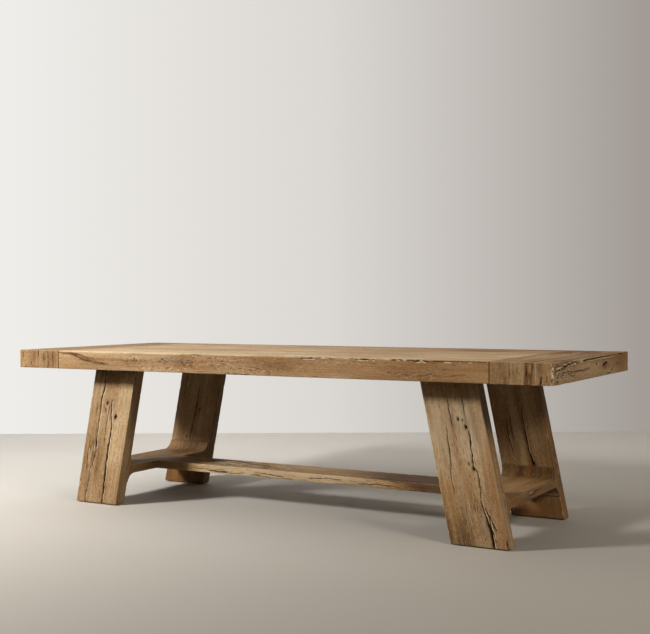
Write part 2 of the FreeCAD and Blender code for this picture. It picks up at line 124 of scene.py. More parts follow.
def noise(points, size, seed):
    """Smooth noise from -1 to 1, with blobs of that size: the eight corners of each point's cell,
    blended by t * t * (3 - 2 * t)."""
    places = points / np.array(size, float)
    cell = np.floor(places).astype(np.int64)
    t = places - cell
    t = t * t * (3 - 2 * t)
    total = np.zeros(points.shape[:-1])
    for corner in range(8):
        step = np.array([corner & 1, corner >> 1 & 1, corner >> 2])
        share = np.prod(np.where(step, t, 1 - t), axis=-1)
        total += share * hashed(cell + step, seed)
    return total


def noise_on(across, along, size, seed):
    """The same noise over the flat of a face, with blobs of that size across and along."""
    return noise(np.stack([across, along, 0 * across], -1), (*size, 1), seed)


# Boards and the marks on them


@dataclass
class Mark:
    """A mark on one face of a board. Its places are (across, along), in mm from the board's middle."""

    face: str = field(default="", kw_only=True)


@dataclass
class Split(Mark):
    """A crack along a path. The lip is the side painted pale as a highlight: 1 where across is
    greater than on the path, -1 on its other side and 0 for none."""

    path: list
    width: float
    depth: float
    lip: int = 1


@dataclass
class Torn(Mark):
    """A band of torn, bark-like wood that follows a path, with dark pits and pale broken fibres of
    the size given across and along."""

    path: list
    width: float
    depth: float
    fibre: tuple = (6, 15)
    dark: float = 0.9
    pale: float = 1


@dataclass
class Knot(Mark):
    """A dead knot: a pit of that radius, with the grain flowing around it."""

    across: float
    along: float
    radius: float
    depth: float = 3


@dataclass
class Streak(Mark):
    """A soft dark line along a path."""

    path: list
    width: float
    amount: float


@dataclass
class Patch(Mark):
    """A patch without a sharp edge, with its reach both ways from its middle."""

    across: float
    along: float
    reach_across: float
    reach_along: float
    amount: float


@dataclass
class Shade(Patch):
    """A patch that is darker, or paler where the amount is below 0: most are darker or paler wood,
    and some are painted shade or painted light. On the amber layer it is a patch of warmer wood."""

    layer: str = "tone"


@dataclass
class Specks(Patch):
    """A patch peppered with small dark pits and pale specks of the size given across and along."""

    grain: tuple = (5, 10)


def on(face, *marks):
    """The marks, put on that face of a board."""
    return [replace(mark, face=face) for mark in marks]


@dataclass
class Board:
    """A piece of oak. Its own axes are wide, deep and long, and long is the way its grain runs.
    Place takes points from these axes to the table, once shape has bent them if it is given. Steps
    are those across its faces +wide, +deep, -wide and -deep. Seams are the faces that meet another
    board in full view, with how dark the dust in the joint is, or below 0 how pale a painted
    highlight along its lit edge is."""

    name: str
    slot: str
    size: tuple
    place: object
    seed: int
    steps: tuple
    marks: list
    long_step: float
    pith: tuple  # where the board's middle lies from the trunk's pith
    end_rings: int = 3
    edge_round: float = ARRIS
    wear: float = 1
    tone: float = 0
    seams: dict = field(default_factory=dict)
    shape: object = None


def loop_of(width, depth, radius, steps, corner_points=4):
    """One anticlockwise turn around a round-cornered rectangle: for each point its place on the
    core rectangle, which is smaller by the radius, and its outward direction. At a corner the place
    stays and the direction makes a quarter turn, and along a side it is the other way round."""
    half = np.array([width, depth]) / 2 - radius
    turns = [(1, -1), (1, 1), (-1, 1), (-1, -1)]
    cores, outs = [], []
    for index, (turn, step) in enumerate(zip(turns, steps)):
        corner, following = half * turn, half * turns[(index + 1) % 4]
        angles = (index - 1 + np.linspace(0, 1, corner_points)) * math.pi / 2
        cores.append(np.tile(corner, (corner_points, 1)))
        outs.append(np.stack([np.cos(angles), np.sin(angles)], -1))
        count = max(2, round(np.abs(following - corner).max() / step))
        shares = np.linspace(0, 1, count + 1)[1:-1, None]
        cores.append(corner + (following - corner) * shares)
        outs.append(np.tile(outs[-1][-1], (count - 1, 1)))
    return np.concatenate(cores), np.concatenate(outs)


def rows_of(length, radius, long_step, end_rings):
    """Rows from one end to the other: place along, how far the section is drawn in, and how much it
    is scaled down. At an end the rows go round the arris by radius * (sin, 1 - cos) of a few
    angles, and then stay level as rings that shrink evenly to close it."""
    turn = np.radians([20, 45, 70])
    flat = length / 2 - radius
    body = np.linspace(-flat, flat, max(3, round(2 * flat / long_step)))
    shrink = np.arange(1, end_rings + 1) / end_rings
    ring = np.full(end_rings, length / 2)
    bent, drawn = flat + radius * np.sin(turn), radius * (1 - np.cos(turn))
    tight = np.full(end_rings, 0.9 * radius)
    along = np.concatenate([-ring, -bent[::-1], body, bent, ring])
    inset = np.concatenate([tight, drawn[::-1], 0 * body, drawn, tight])
    scale = np.concatenate([shrink, 1 + 0 * turn, 1 + 0 * body, 1 + 0 * turn, shrink[::-1]])
    return along, inset, scale


def board_points(board):
    """The round-cornered section carried along the board, one row of points for each section."""
    width, depth, length = board.size
    radius = board.edge_round
    core, out = loop_of(width, depth, radius, board.steps)
    along, inset, scale = rows_of(length, radius, board.long_step, board.end_rings)
    section = (core + (radius - inset[:, None, None]) * out) * scale[:, None, None]
    lengthwise = np.broadcast_to(along[:, None, None], section.shape[:2] + (1,))
    return np.concatenate([section, lengthwise], -1)


def outward(points):
    """Unit normals of a closed grid of points: the way round each row, crossed with the way along."""
    around = np.roll(points, -1, 1) - np.roll(points, 1, 1)
    along = np.gradient(points, axis=0)
    normals = np.cross(around, along)
    return normals / np.maximum(np.linalg.norm(normals, axis=-1, keepdims=True), 1e-9)


def behind_face(local, size, face):
    """How far behind a face each point lies."""
    axis = AXES[face[1:]]
    return size[axis] / 2 - (1 if face[0] == "+" else -1) * local[..., axis]


def on_face(local, size, face):
    """Places across and along a face, and a share that is 1 on it and 0 from 9 mm behind it."""
    first, second = (k for k in range(3) if k != AXES[face[1:]])
    near = np.clip(1.5 - behind_face(local, size, face) / 6, 0, 1)
    return local[..., first], local[..., second], near


def raise_layer(layers, name, value):
    """Raises a layer to the value wherever it is lower."""
    layers[name] = np.maximum(layers[name], value)


def marks_of(board, local, kinds, first=0, step=0):
    """Each of the board's marks of those kinds, with its random seed, the places across and along
    its face, and the share that is 1 on that face."""
    marks = [mark for mark in board.marks if isinstance(mark, kinds)]
    for index, mark in enumerate(marks):
        seed = SEED_STEP * board.seed + first + step * index
        yield mark, seed, *on_face(local, board.size, mark.face)


def reaches_away(mark, across, along):
    """The square of each point's distance from the middle of a patch, counted in its reaches."""
    shift = (across - mark.across) / mark.reach_across
    rise = (along - mark.along) / mark.reach_along
    return shift**2 + rise**2


def path_gap(path, across, along, seed, wander):
    """Distance from each point to a path that wanders a little, how far along it that is as a
    share, and the side: 1 where across is greater than on the path, else -1. The nearest place on
    each straight run is found by dropping the point onto it."""
    path = np.array(path, float)
    drift = noise_on(across, along, BLOBS["wander"], seed)
    drift += 0.5 * noise_on(across, along, BLOBS["waver"], seed + 1)
    spot = np.stack([across + wander * drift, along], -1)
    runs = np.diff(path, axis=0)
    lengths = np.hypot(*runs.T)
    begun = np.concatenate([[0], np.cumsum(lengths)])
    nearest = np.full(across.shape, np.inf)
    share = np.zeros(across.shape)
    side = np.ones(across.shape)
    for start, run, length, done in zip(path, runs, lengths, begun):
        t = np.clip(((spot - start) @ run) / length**2, 0, 1)
        away = spot - start - t[..., None] * run
        gap = np.linalg.norm(away, axis=-1)
        nearer = gap < nearest
        side = np.where(nearer, np.sign(away[..., 0]), side)
        nearest = np.where(nearer, gap, nearest)
        share = np.where(nearer, (done + t * length) / begun[-1], share)
    return nearest, share, side


def set_knots(board, local, grain, layers):
    """Pits each knot, which is 1.4 times as long as wide, and bends the grain round it: a point at
    distance d from the knot reads the grain from further in, by its offset times (ring / d)
    squared, where the ring is 1.8 times the knot's radius. Inside the ring the grain rises in a
    cone, so that its growth rings close around the knot."""
    for knot, _, across, along, near in marks_of(board, local, Knot):
        axis = AXES[knot.face[1:]]
        first = next(k for k in range(3) if k != axis)
        shift, rise = across - knot.across, (along - knot.along) / 1.4
        ring = 1.8 * knot.radius
        away = np.maximum(np.hypot(shift, rise), 1e-3)
        grain[..., first] -= shift * np.minimum((ring / away) ** 2, 1)
        eye = np.clip(1 - away / ring, 0, 1) * near
        grain[..., axis % 2] += 3 * ring * eye
        ragged = 1 + 0.25 * noise_on(across, along, BLOBS["knot"], board.seed)
        pit = np.clip(1.3 - ragged * away / knot.radius, 0, 1) * near
        layers["back"] += knot.depth * pit + 0.5 * np.exp(-((away / ring) ** 2)) * near
        raise_layer(layers, "crack", 0.85 * pit)
        raise_layer(layers, "knot", np.clip(1.5 * eye, 0, 1))


def cut_splits(board, local, layers):
    """Opens each crack: its depth falls off from the path to its lips, as (1 - gap / half) to the
    power 0.7. The half width goes with the root of the sine of the way along the crack, so that it
    closes at both ends, and is made uneven by noise. The wood is stained a little further out, and
    where the crack is wide one lip is painted pale, a painted highlight where light catches it."""
    for split, seed, across, along, near in marks_of(board, local, Split, 0, 11):
        gap, share, side = path_gap(split.path, across, along, seed, 1.5)
        half = 0.7 * split.width * np.sin(math.pi * np.clip(share, 0.02, 0.98)) ** 0.5
        half = half * (1 + 0.7 * noise_on(across, along, BLOBS["opening"], seed + 2))
        opening = np.clip(1 - gap / np.maximum(half, 0.3), 0, 1)
        stain = np.clip(1 - gap / (2.4 * half + 2), 0, 1)
        layers["back"] += split.depth * opening**0.7 * near
        raise_layer(layers, "crack", np.clip(1.9 * opening, 0, 1) * near)
        raise_layer(layers, "stain", stain * near)
        # painted highlight: the pale lip on one side of a wide crack
        lip = np.exp(-(((gap - half - 2.4) / 2) ** 2)) * np.clip(split.lip * side, 0, 1)
        raise_layer(layers, "pale", 0.9 * lip * (half > 1.4) * near)


def tear_bands(board, local, layers):
    """Roughens each torn band with short ragged pits, deepest and darkest along its path, and
    leaves pale broken fibres between them. The pits are where fine noise is high, and the pale
    fibres where it is low."""
    for band, seed, across, along, near in marks_of(board, local, Torn, 53, 11):
        gap, _, _ = path_gap(band.path, across, along, seed, 3)
        half = band.width / 2 * (1 + 0.5 * noise_on(across, along, BLOBS["band"], seed + 1))
        middle = np.clip(1.3 - gap / half, 0, 1) * near
        rough = noise_on(across, along, band.fibre, seed + 2)
        rough += 0.6 * noise_on(across, along, np.array(band.fibre) / 2, seed + 3)
        pit = np.clip(0.5 + rough, 0, 1)
        layers["back"] += band.depth * middle * (0.25 + 0.75 * pit)
        raise_layer(layers, "crack", band.dark * middle * np.clip(2.4 * pit - 1.2, 0, 1))
        raise_layer(layers, "stain", (0.2 + 0.5 * band.dark) * middle)
        raise_layer(layers, "pale", band.pale * middle * np.clip(-3 * rough - 0.2, 0, 1))


def pepper(board, local, layers):
    """Peppers each patch with small pits and pale specks, where fine noise passes a threshold. The
    patch fades with exp(-d squared), with d the distance in reaches, made ragged by noise."""
    for patch, seed, across, along, near in marks_of(board, local, Specks, 61, 13):
        ragged = 1 + 0.8 * noise_on(across, along, BLOBS["cloud"], seed)
        cloud = np.exp(-reaches_away(patch, across, along) * ragged) * near
        fine = noise_on(across, along, patch.grain, seed + 1)
        fine += 0.4 * noise_on(across, along, np.array(patch.grain) / 2, seed + 2)
        pit = np.clip(3 * fine - 0.9, 0, 1) * cloud
        chip = np.clip(-3 * fine - 1.1, 0, 1) * cloud
        layers["back"] += 1.5 * pit
        raise_layer(layers, "crack", patch.amount * pit)
        raise_layer(layers, "pale", patch.amount * chip)
        raise_layer(layers, "stain", 0.4 * patch.amount * cloud)


def shade_wood(board, local, layers):
    """Darkens the wood softly along streaks and over patches, or lightens it, and some of these patches
    are painted shade or painted light: the amount times exp(-d squared), with d the distance in
    widths of the streak or in reaches of the patch, made ragged by noise. A streak grows thin towards
    its ends. A patch on the amber layer warms the wood instead."""
    for mark, seed, across, along, near in marks_of(board, local, (Streak, Shade), 0, 7):
        if isinstance(mark, Streak):
            gap, share, _ = path_gap(mark.path, across, along, seed, 2)
            away = (gap / mark.width) ** 2 / np.maximum(np.sin(math.pi * share), 0.15)
        else:
            away = reaches_away(mark, across, along)
        ragged = 1 + 0.4 * noise_on(across, along, BLOBS["shade"], seed + 3)
        change = mark.amount * np.exp(-away * ragged) * near
        if isinstance(mark, Shade) and mark.layer == "amber":
            layers["amber"] += change
        else:
            layers["tone"] -= change


def wear_arrises(board, local, layers):
    """Wears the arrises back by an amount times exp(-(distance from the arris / reach) squared).
    The amount changes along them and grows at a chip or a dent here and there. A seam with dust is
    dark, and a seam below 0 is painted pale as a highlight on its lit edge, by exp(-(distance behind
    its face / 2 mm) squared)."""
    off = np.sort(np.array(board.size) / 2 - np.abs(local), axis=-1)[..., 1]
    seed = SEED_STEP * board.seed + 30
    amount = 0.3 * (1 + noise(local, RELIEF["wear"], seed))
    chips = np.clip(noise(local, RELIEF["chips"], seed + 1) - 0.42, 0, 1)
    dents = np.clip(noise(local, RELIEF["dents"], seed + 2) - 0.6, 0, 1)
    amount = board.wear * (amount + 5 * chips + 9 * dents)
    near = np.exp(-((off / (1.8 + amount)) ** 2))
    layers["back"] += amount * near
    raise_layer(layers, "pale", near * np.clip(0.5 + chips, 0, 1) * board.wear)
    raise_layer(layers, "stain", near * np.clip(4 * dents, 0, 1))
    for face, dust_and_highlight in board.seams.items():
        edge = np.exp(-((behind_face(local, board.size, face) / 2) ** 2))
        raise_layer(layers, "crack" if dust_and_highlight > 0 else "pale", abs(dust_and_highlight) * edge)


def work_board(board):
    """The board's local points, their places in the grain, and the layers: how far back the surface
    lies from the true faces, and how cracked, knotty, stained, pale, warm and light it is. Waves,
    ridges along the grain, raised fibres and pulled-out fibres are noise of different sizes."""
    local = board_points(board)
    grain = local.copy()
    names = ("back", "crack", "knot", "stain", "pale", "amber", "tone")
    layers = {name: np.zeros(local.shape[:2]) for name in names}
    layers["tone"] += board.tone
    wear_arrises(board, local, layers)
    set_knots(board, local, grain, layers)
    for work in (cut_splits, tear_bands, pepper, shade_wood):
        work(board, local, layers)
    seed = SEED_STEP * board.seed
    waves = 0.2 * (1 + noise(local, RELIEF["waves"], seed + 3))
    ridges = 0.07 * (1 + noise(grain, RELIEF["ridges"], seed + 4))
    fibres = 0.06 * (1 + noise(grain, RELIEF["fibres"], seed + 5))
    pulled = np.clip(noise(grain, RELIEF["pulled"], seed + 6) - 0.66, 0, 1)
    layers["back"] += waves + ridges + fibres + 2.2 * pulled
    raise_layer(layers, "stain", np.clip(3 * pulled, 0, 0.7))
    grain += (*board.pith, GRAIN_APART * board.seed)
    return local, grain, layers


# Meshes


def closed_faces(rows, columns):
    """Quads between neighbouring rows, and a fan at each end to the two last points, as corner
    numbers and the number of corners of each face."""
    row, column = np.meshgrid(np.arange(rows - 1), np.arange(columns), indexing="ij")
    first, second = row * columns + column, row * columns + (column + 1) % columns
    quads = np.stack([first, second, second + columns, first + columns], -1).reshape(-1, 4)
    start = np.arange(columns)
    turned = (start + 1) % columns
    last = (rows - 1) * columns
    poles = rows * columns + np.array([0, 1])
    bottom = np.stack([turned, start, np.full(columns, poles[0])], -1)
    top = np.stack([last + start, last + turned, np.full(columns, poles[1])], -1)
    corners = np.concatenate([quads.ravel(), bottom.ravel(), top.ravel()])
    counts = np.concatenate([np.full(len(quads), 4), np.full(2 * columns, 3)])
    return corners, counts


def with_poles(values):
    """The grid's values as a list, with the mean of its first and of its last row added."""
    flat = values.reshape(-1, values.shape[-1])
    return np.concatenate([flat, values[:1].mean(1), values[-1:].mean(1)])


def mesh_from(name, points, corners, counts):
    """A smooth-shaded mesh object from points in mm, the faces' corner numbers and corner counts."""
    mesh = bpy.data.meshes.new(name)
    mesh.vertices.add(len(points))
    mesh.vertices.foreach_set("co", (points * MM).astype(np.float32).ravel())
    mesh.loops.add(len(corners))
    mesh.loops.foreach_set("vertex_index", corners.astype(np.int32))
    mesh.polygons.add(len(counts))
    starts = np.concatenate([[0], np.cumsum(counts)[:-1]])
    mesh.polygons.foreach_set("loop_start", starts.astype(np.int32))
    mesh.update(calc_edges=True)
    mesh.validate()
    mesh.shade_smooth()
    piece = bpy.data.objects.new(name, mesh)
    bpy.context.scene.collection.objects.link(piece)
    return piece


def make_board(board, node):
    """Builds the board in the place of its CAD node, with the attributes that its finish reads. Its
    points lie back from the true faces, against their outward normals, by the layer for that."""
    local, grain, layers = work_board(board)
    true = board.place(board.shape(local) if board.shape else local)
    points = true - outward(true) * layers.pop("back")[..., None]
    piece = mesh_from(board.name, with_poles(points), *closed_faces(*local.shape[:2]))
    for name, values in layers.items():
        layer = piece.data.attributes.new(name, "FLOAT", "POINT")
        layer.data.foreach_set("value", with_poles(values[..., None]).astype(np.float32).ravel())
    layer = piece.data.attributes.new("grain", "FLOAT_VECTOR", "POINT")
    layer.data.foreach_set("vector", (with_poles(grain) * MM).astype(np.float32).ravel())
    piece.data.materials.append(FINISHES[board.slot])
    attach(piece, "root")
    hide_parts(node)


# Finishes


def linear(colour):
    """An sRGB hex colour as linear red, green, blue and full alpha."""
    parts = [int(colour[k : k + 2], 16) / 255 for k in (1, 3, 5)]
    return [p / 12.92 if p <= 0.04045 else ((p + 0.055) / 1.055) ** 2.4 for p in parts] + [1.0]


def add(tree, kind, sockets=None, **settings):
    """Adds a shader node with its settings, and sets or links each of the inputs given."""
    node = tree.nodes.new("ShaderNode" + kind)
    for name, value in settings.items():
        setattr(node, name, value)
    for key, value in (sockets or {}).items():
        if isinstance(value, bpy.types.NodeSocket):
            tree.links.new(value, node.inputs[key])
        else:
            node.inputs[key].default_value = value
    return node


def set_stops(ramp, stops):
    """Gives a colour ramp its stops, each a place with an sRGB colour."""
    elements = ramp.color_ramp.elements
    elements.remove(elements[1])
    for index, (place, colour) in enumerate(stops.items()):
        stop = elements.new(place) if index else elements[0]
        stop.position = place
        stop.color = linear(colour)


def new_finish(name):
    """An empty material with its principled shader."""
    material = bpy.data.materials.new(name)
    material.use_nodes = True
    tree = material.node_tree
    tree.nodes.clear()
    shader = add(tree, "BsdfPrincipled")
    add(tree, "OutputMaterial", {"Surface": shader.outputs[0]})
    return material, tree, shader


USUAL_NOISE = {1: 0.3, 2: 0.7}  # where most of a noise texture's values lie
OAK_STOPS = (0.0, 0.3, 0.55, 0.8, 1.0)
MIDDLE_STOP = OAK_STOPS[2]  # the colour of wood whose tone is 0
PITH_DRIFT = 0.024  # in metres, from one side to the other

# Layers of oak figure: size across and along the grain in mm, and how much the layer
# lightens or darkens. Growth rings have one size, from the pith outwards.
FIGURE = {
    "patches": (85, 330, 0.11),
    "streaks": (14, 240, 0.06),
    "fibres": (3.4, 46, 0.06),
    "specks": (4.5, 10, 0.09),
}
RINGS = {12: 0.05, 3.4: 0.04}
# Small marks in the grain: size across and along in mm, where the noise starts and ends to show
# them, how strongly, and their colour. Real pores are 0.3 mm wide and are drawn coarser.
FLECKS = {
    "honey": (40, 260, 0.48, 0.78, 0.45, "#9A6833"),
    "weathered": (34, 170, 0.55, 0.8, 0.4, "#877C66"),
    "pores": (1.6, 13, 0.63, 0.74, 0.5, "#5A3F25"),
    "checks": (4.2, 26, 0.67, 0.76, 0.6, "#402A17"),
    "ray_flecks": (3.6, 9, 0.66, 0.76, 0.45, "#E0C8A2"),
}
# What the work on a board leaves in its attributes: where each starts and ends to show, how
# strongly, and its colour.
WORN = {
    "amber": (0.0, 1.0, 0.6, "#96622A"),
    "stain": (0.0, 0.9, 0.72, "#5A340F"),
    # pale: worn arrises, and painted highlights on crack lips and on the right block's seams
    "pale": (0.1, 1.0, 0.9, "#EAD5B0"),
    "knot": (0.0, 1.0, 0.75, "#432409"),
    "crack": (0.1, 0.7, 1.0, "#190B03"),
}


def oak_noise(tree):
    """The noise of each layer, read where the grain says. The pith wanders by up to 12 mm along the
    board, which gives the rings their arched figure, and a ring's noise is that of the distance
    from the pith."""
    grain = add(tree, "Attribute", attribute_name="grain").outputs["Vector"]
    slow = add(tree, "VectorMath", {0: grain, 1: (8, 8, 1.5)}, operation="MULTIPLY").outputs[0]
    drift = add(tree, "TexNoise", {"Vector": slow, "Scale": 1.0, "Detail": 2.0}).outputs[1]
    drift = add(tree, "VectorMath", {0: drift, 1: (0.5, 0.5, 0.5)}, operation="SUBTRACT").outputs[0]
    sockets = {0: drift, 1: (PITH_DRIFT, PITH_DRIFT, 0)}
    drift = add(tree, "VectorMath", sockets, operation="MULTIPLY").outputs[0]
    wavy = add(tree, "VectorMath", {0: grain, 1: drift}, operation="ADD").outputs[0]
    found = {}
    for layer, values in (FIGURE | FLECKS).items():
        across, along = values[:2]
        scale = (METRE / across, METRE / across, METRE / along)
        spot = add(tree, "VectorMath", {0: wavy, 1: scale}, operation="MULTIPLY").outputs[0]
        found[layer] = add(tree, "TexNoise", {"Vector": spot, "Scale": 1.0, "Detail": 1.0}).outputs[0]
    flat = add(tree, "VectorMath", {0: wavy, 1: (1, 1, 0)}, operation="MULTIPLY").outputs[0]
    radius = add(tree, "VectorMath", {0: flat}, operation="LENGTH").outputs["Value"]
    for width in RINGS:
        turn = add(tree, "Math", {0: radius, 1: METRE / width}, operation="MULTIPLY").outputs[0]
        sockets = {"W": turn, "Scale": 1.0, "Detail": 1.0}
        found[width] = add(tree, "TexNoise", sockets, noise_dimensions="1D").outputs[0]
    return found


def oak(name, colours, figure=1.0, roughness=0.62):
    """Waxed reclaimed oak. The eye sees growth rings as slow bands, paler and darker fibres, pores
    and checks as short dark dashes, honey and grey weathering in patches, and near-black splits.
    The tone of the board plus each layer's noise times its weight picks a colour between those
    given, and the flecks and the traces of the work on the board are mixed over it in turn."""
    material, tree, shader = new_finish(name)
    found = oak_noise(tree)
    total = add(tree, "Attribute", attribute_name="tone").outputs["Fac"]
    total = add(tree, "Math", {0: total, 1: MIDDLE_STOP}, operation="ADD").outputs[0]
    weights = {layer: values[-1] for layer, values in FIGURE.items()} | RINGS
    for layer, weight in weights.items():
        sockets = {0: found[layer], 3: -figure * weight, 4: figure * weight}
        lift = add(tree, "MapRange", sockets | USUAL_NOISE).outputs[0]
        total = add(tree, "Math", {0: total, 1: lift}, operation="ADD").outputs[0]
    ramp = add(tree, "ValToRGB", {0: total})
    set_stops(ramp, dict(zip(OAK_STOPS, colours)))
    colour = ramp.outputs[0]
    for layer, values in (FLECKS | WORN).items():
        low, high, most, tint = values[-4:]
        if layer in FLECKS:
            value, most = found[layer], most * figure
        else:
            value = add(tree, "Attribute", attribute_name=layer).outputs["Fac"]
        share = add(tree, "MapRange", {0: value, 1: low, 2: high, 3: 0.0, 4: most}).outputs[0]
        sockets = {"Fac": share, "Color1": colour, "Color2": linear(tint)}
        colour = add(tree, "MixRGB", sockets).outputs[0]
    tree.links.new(colour, shader.inputs["Base Color"])
    sockets = {0: found["streaks"], 3: roughness - 0.08, 4: roughness + 0.12} | USUAL_NOISE
    tree.links.new(add(tree, "MapRange", sockets).outputs[0], shader.inputs["Roughness"])
    shader.inputs["Specular IOR Level"].default_value = 0.2
    height = add(tree, "Math", {0: found["fibres"], 1: found["specks"]}, operation="ADD").outputs[0]
    height = add(tree, "Math", {0: height, 1: found["pores"]}, operation="SUBTRACT").outputs[0]
    bump = add(tree, "Bump", {"Height": height, "Distance": 0.0012, "Strength": 0.6})
    tree.links.new(bump.outputs[0], shader.inputs["Normal"])
    return material


def hard_finish(name, colour, metallic, roughness, mark_mm, mark_long):
    """A hard finish. Noise of the marks' size, drawn out that many times one way, sets its sheen and
    its fine relief, and slower noise lies over its colour like a little grime."""
    material, tree, shader = new_finish(name)
    place = add(tree, "TexCoord").outputs["Object"]
    scale = (METRE / mark_mm, METRE / (mark_mm * mark_long), METRE / mark_mm)
    spot = add(tree, "VectorMath", {0: place, 1: scale}, operation="MULTIPLY").outputs[0]
    marks = add(tree, "TexNoise", {"Vector": spot, "Scale": 1.0, "Detail": 3.0}).outputs[0]
    grime = add(tree, "TexNoise", {"Vector": place, "Scale": 60.0, "Detail": 3.0}).outputs[0]
    tint = add(tree, "MapRange", {0: grime, 1: 0.35, 2: 0.7, 3: 0.75, 4: 1.1}).outputs[0]
    sockets = {"Fac": 1.0, "Color1": linear(colour), "Color2": tint}
    tinted = add(tree, "MixRGB", sockets, blend_type="MULTIPLY").outputs[0]
    tree.links.new(tinted, shader.inputs["Base Color"])
    shader.inputs["Metallic"].default_value = metallic
    sockets = {0: marks, 3: roughness - 0.1, 4: roughness + 0.12} | USUAL_NOISE
    tree.links.new(add(tree, "MapRange", sockets).outputs[0], shader.inputs["Roughness"])
    bump = add(tree, "Bump", {"Height": marks, "Distance": 0.0001, "Strength": 0.5})
    tree.links.new(bump.outputs[0], shader.inputs["Normal"])
    return material


FINISHES = {
    # The colours of each oak run from its darkest wood to its palest
    "plank_oak": oak(
        "waxed_reclaimed_oak_planks",
        ("#5E442A", "#8F6D47", "#AE8E67", "#C7AA84", "#D8C09D"),
    ),
    "stave_oak": oak(
        "waxed_reclaimed_oak_staves",
        ("#543B24", "#876641", "#A8875F", "#C0A27A", "#D2B993"),
    ),
    "leg_oak": oak(
        "waxed_reclaimed_oak_legs",
        ("#5E442B", "#90704B", "#B09069", "#C7AB84", "#DAC3A0"),
        figure=1.3,
    ),
    "rail_oak": oak(
        "waxed_reclaimed_oak_rails",
        ("#573C22", "#87663F", "#A5835A", "#BD9D73", "#D0B48D"),
    ),
    "stretcher_oak": oak(
        "waxed_reclaimed_oak_stretcher",
        ("#5A4026", "#8B6943", "#AB885E", "#C2A278", "#D5BB94"),
    ),
    # Freshly sawn oak inside the joints: paler and more yellow
    "tongue_oak": oak(
        "sawn_oak",
        ("#6E5233", "#9E7B52", "#BC9A6F", "#CFB189", "#DDC6A2"),
    ),
    # Flat bar under matt black paint: soft dark sheen with rubbed places
    "plate_steel": hard_finish("matt_black_painted_steel", "#232323", 0.0, 0.5, 3, 8),
    # Zinc plate: pale, slightly scratched shine
    "screw_steel": hard_finish("zinc_plated_steel", "#B4B5B8", 1.0, 0.35, 0.8, 6),
    # Brass as it left the lathe: fine turning marks
    "insert_brass": hard_finish("turned_brass", "#C9A35A", 1.0, 0.35, 0.5, 20),
    # Nylon from the mould: even, matt, finely pebbled
    "glide_nylon": hard_finish("moulded_nylon", "#1C1A17", 0.0, 0.55, 1.1, 1),
}


# Pieces


def box_of(node):
    """Lowest corner, highest corner and middle of a CAD node, in mm."""
    low, high = (np.array(corner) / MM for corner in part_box(node))
    return low, high, (low + high) / 2


def stray_marks(seed, size, faces, splits, knots, patches=2):
    """A few more fine splits, small knots and shaded patches, scattered at random over the faces
    named. On an end face the splits are short and thin, and run across it."""
    rng = np.random.default_rng(seed)
    marks = []
    for face in faces:
        axis = AXES[face[1:]]
        on_end = axis == AXES["long"]
        wide, long = (size[k] for k in range(3) if k != axis)
        found = []
        for _ in range(splits):
            across, along = rng.uniform(-0.42, 0.42) * wide, rng.uniform(-0.42, 0.42) * long
            reach = rng.uniform(20, 60) if on_end else rng.uniform(60, 220)
            bend = rng.uniform(-0.03, 0.03, 3) * reach
            path = [(across + bend[k], along + reach * (k - 1) / 2) for k in range(3)]
            if on_end:
                path = [(across + reach * (k - 1) / 2, along + bend[k]) for k in range(3)]
            width = rng.uniform(1.4, 2.6) * (0.6 if on_end else 1)
            found.append(Split(path, width, rng.uniform(1.5, 4), 0 if on_end else 1))
        for _ in range(knots):
            across, along = rng.uniform(-0.36, 0.36) * wide, rng.uniform(-0.45, 0.45) * long
            found.append(Knot(across, along, rng.uniform(2.5, 5)))
        for _ in range(patches):
            across, along = rng.uniform(-0.4, 0.4) * wide, rng.uniform(-0.45, 0.45) * long
            reach = (rng.uniform(0.12, 0.3) * wide, rng.uniform(0.06, 0.2) * long)
            found.append(Shade(across, along, *reach, rng.uniform(-0.1, 0.22)))
        marks += on(face, *found)
    return marks


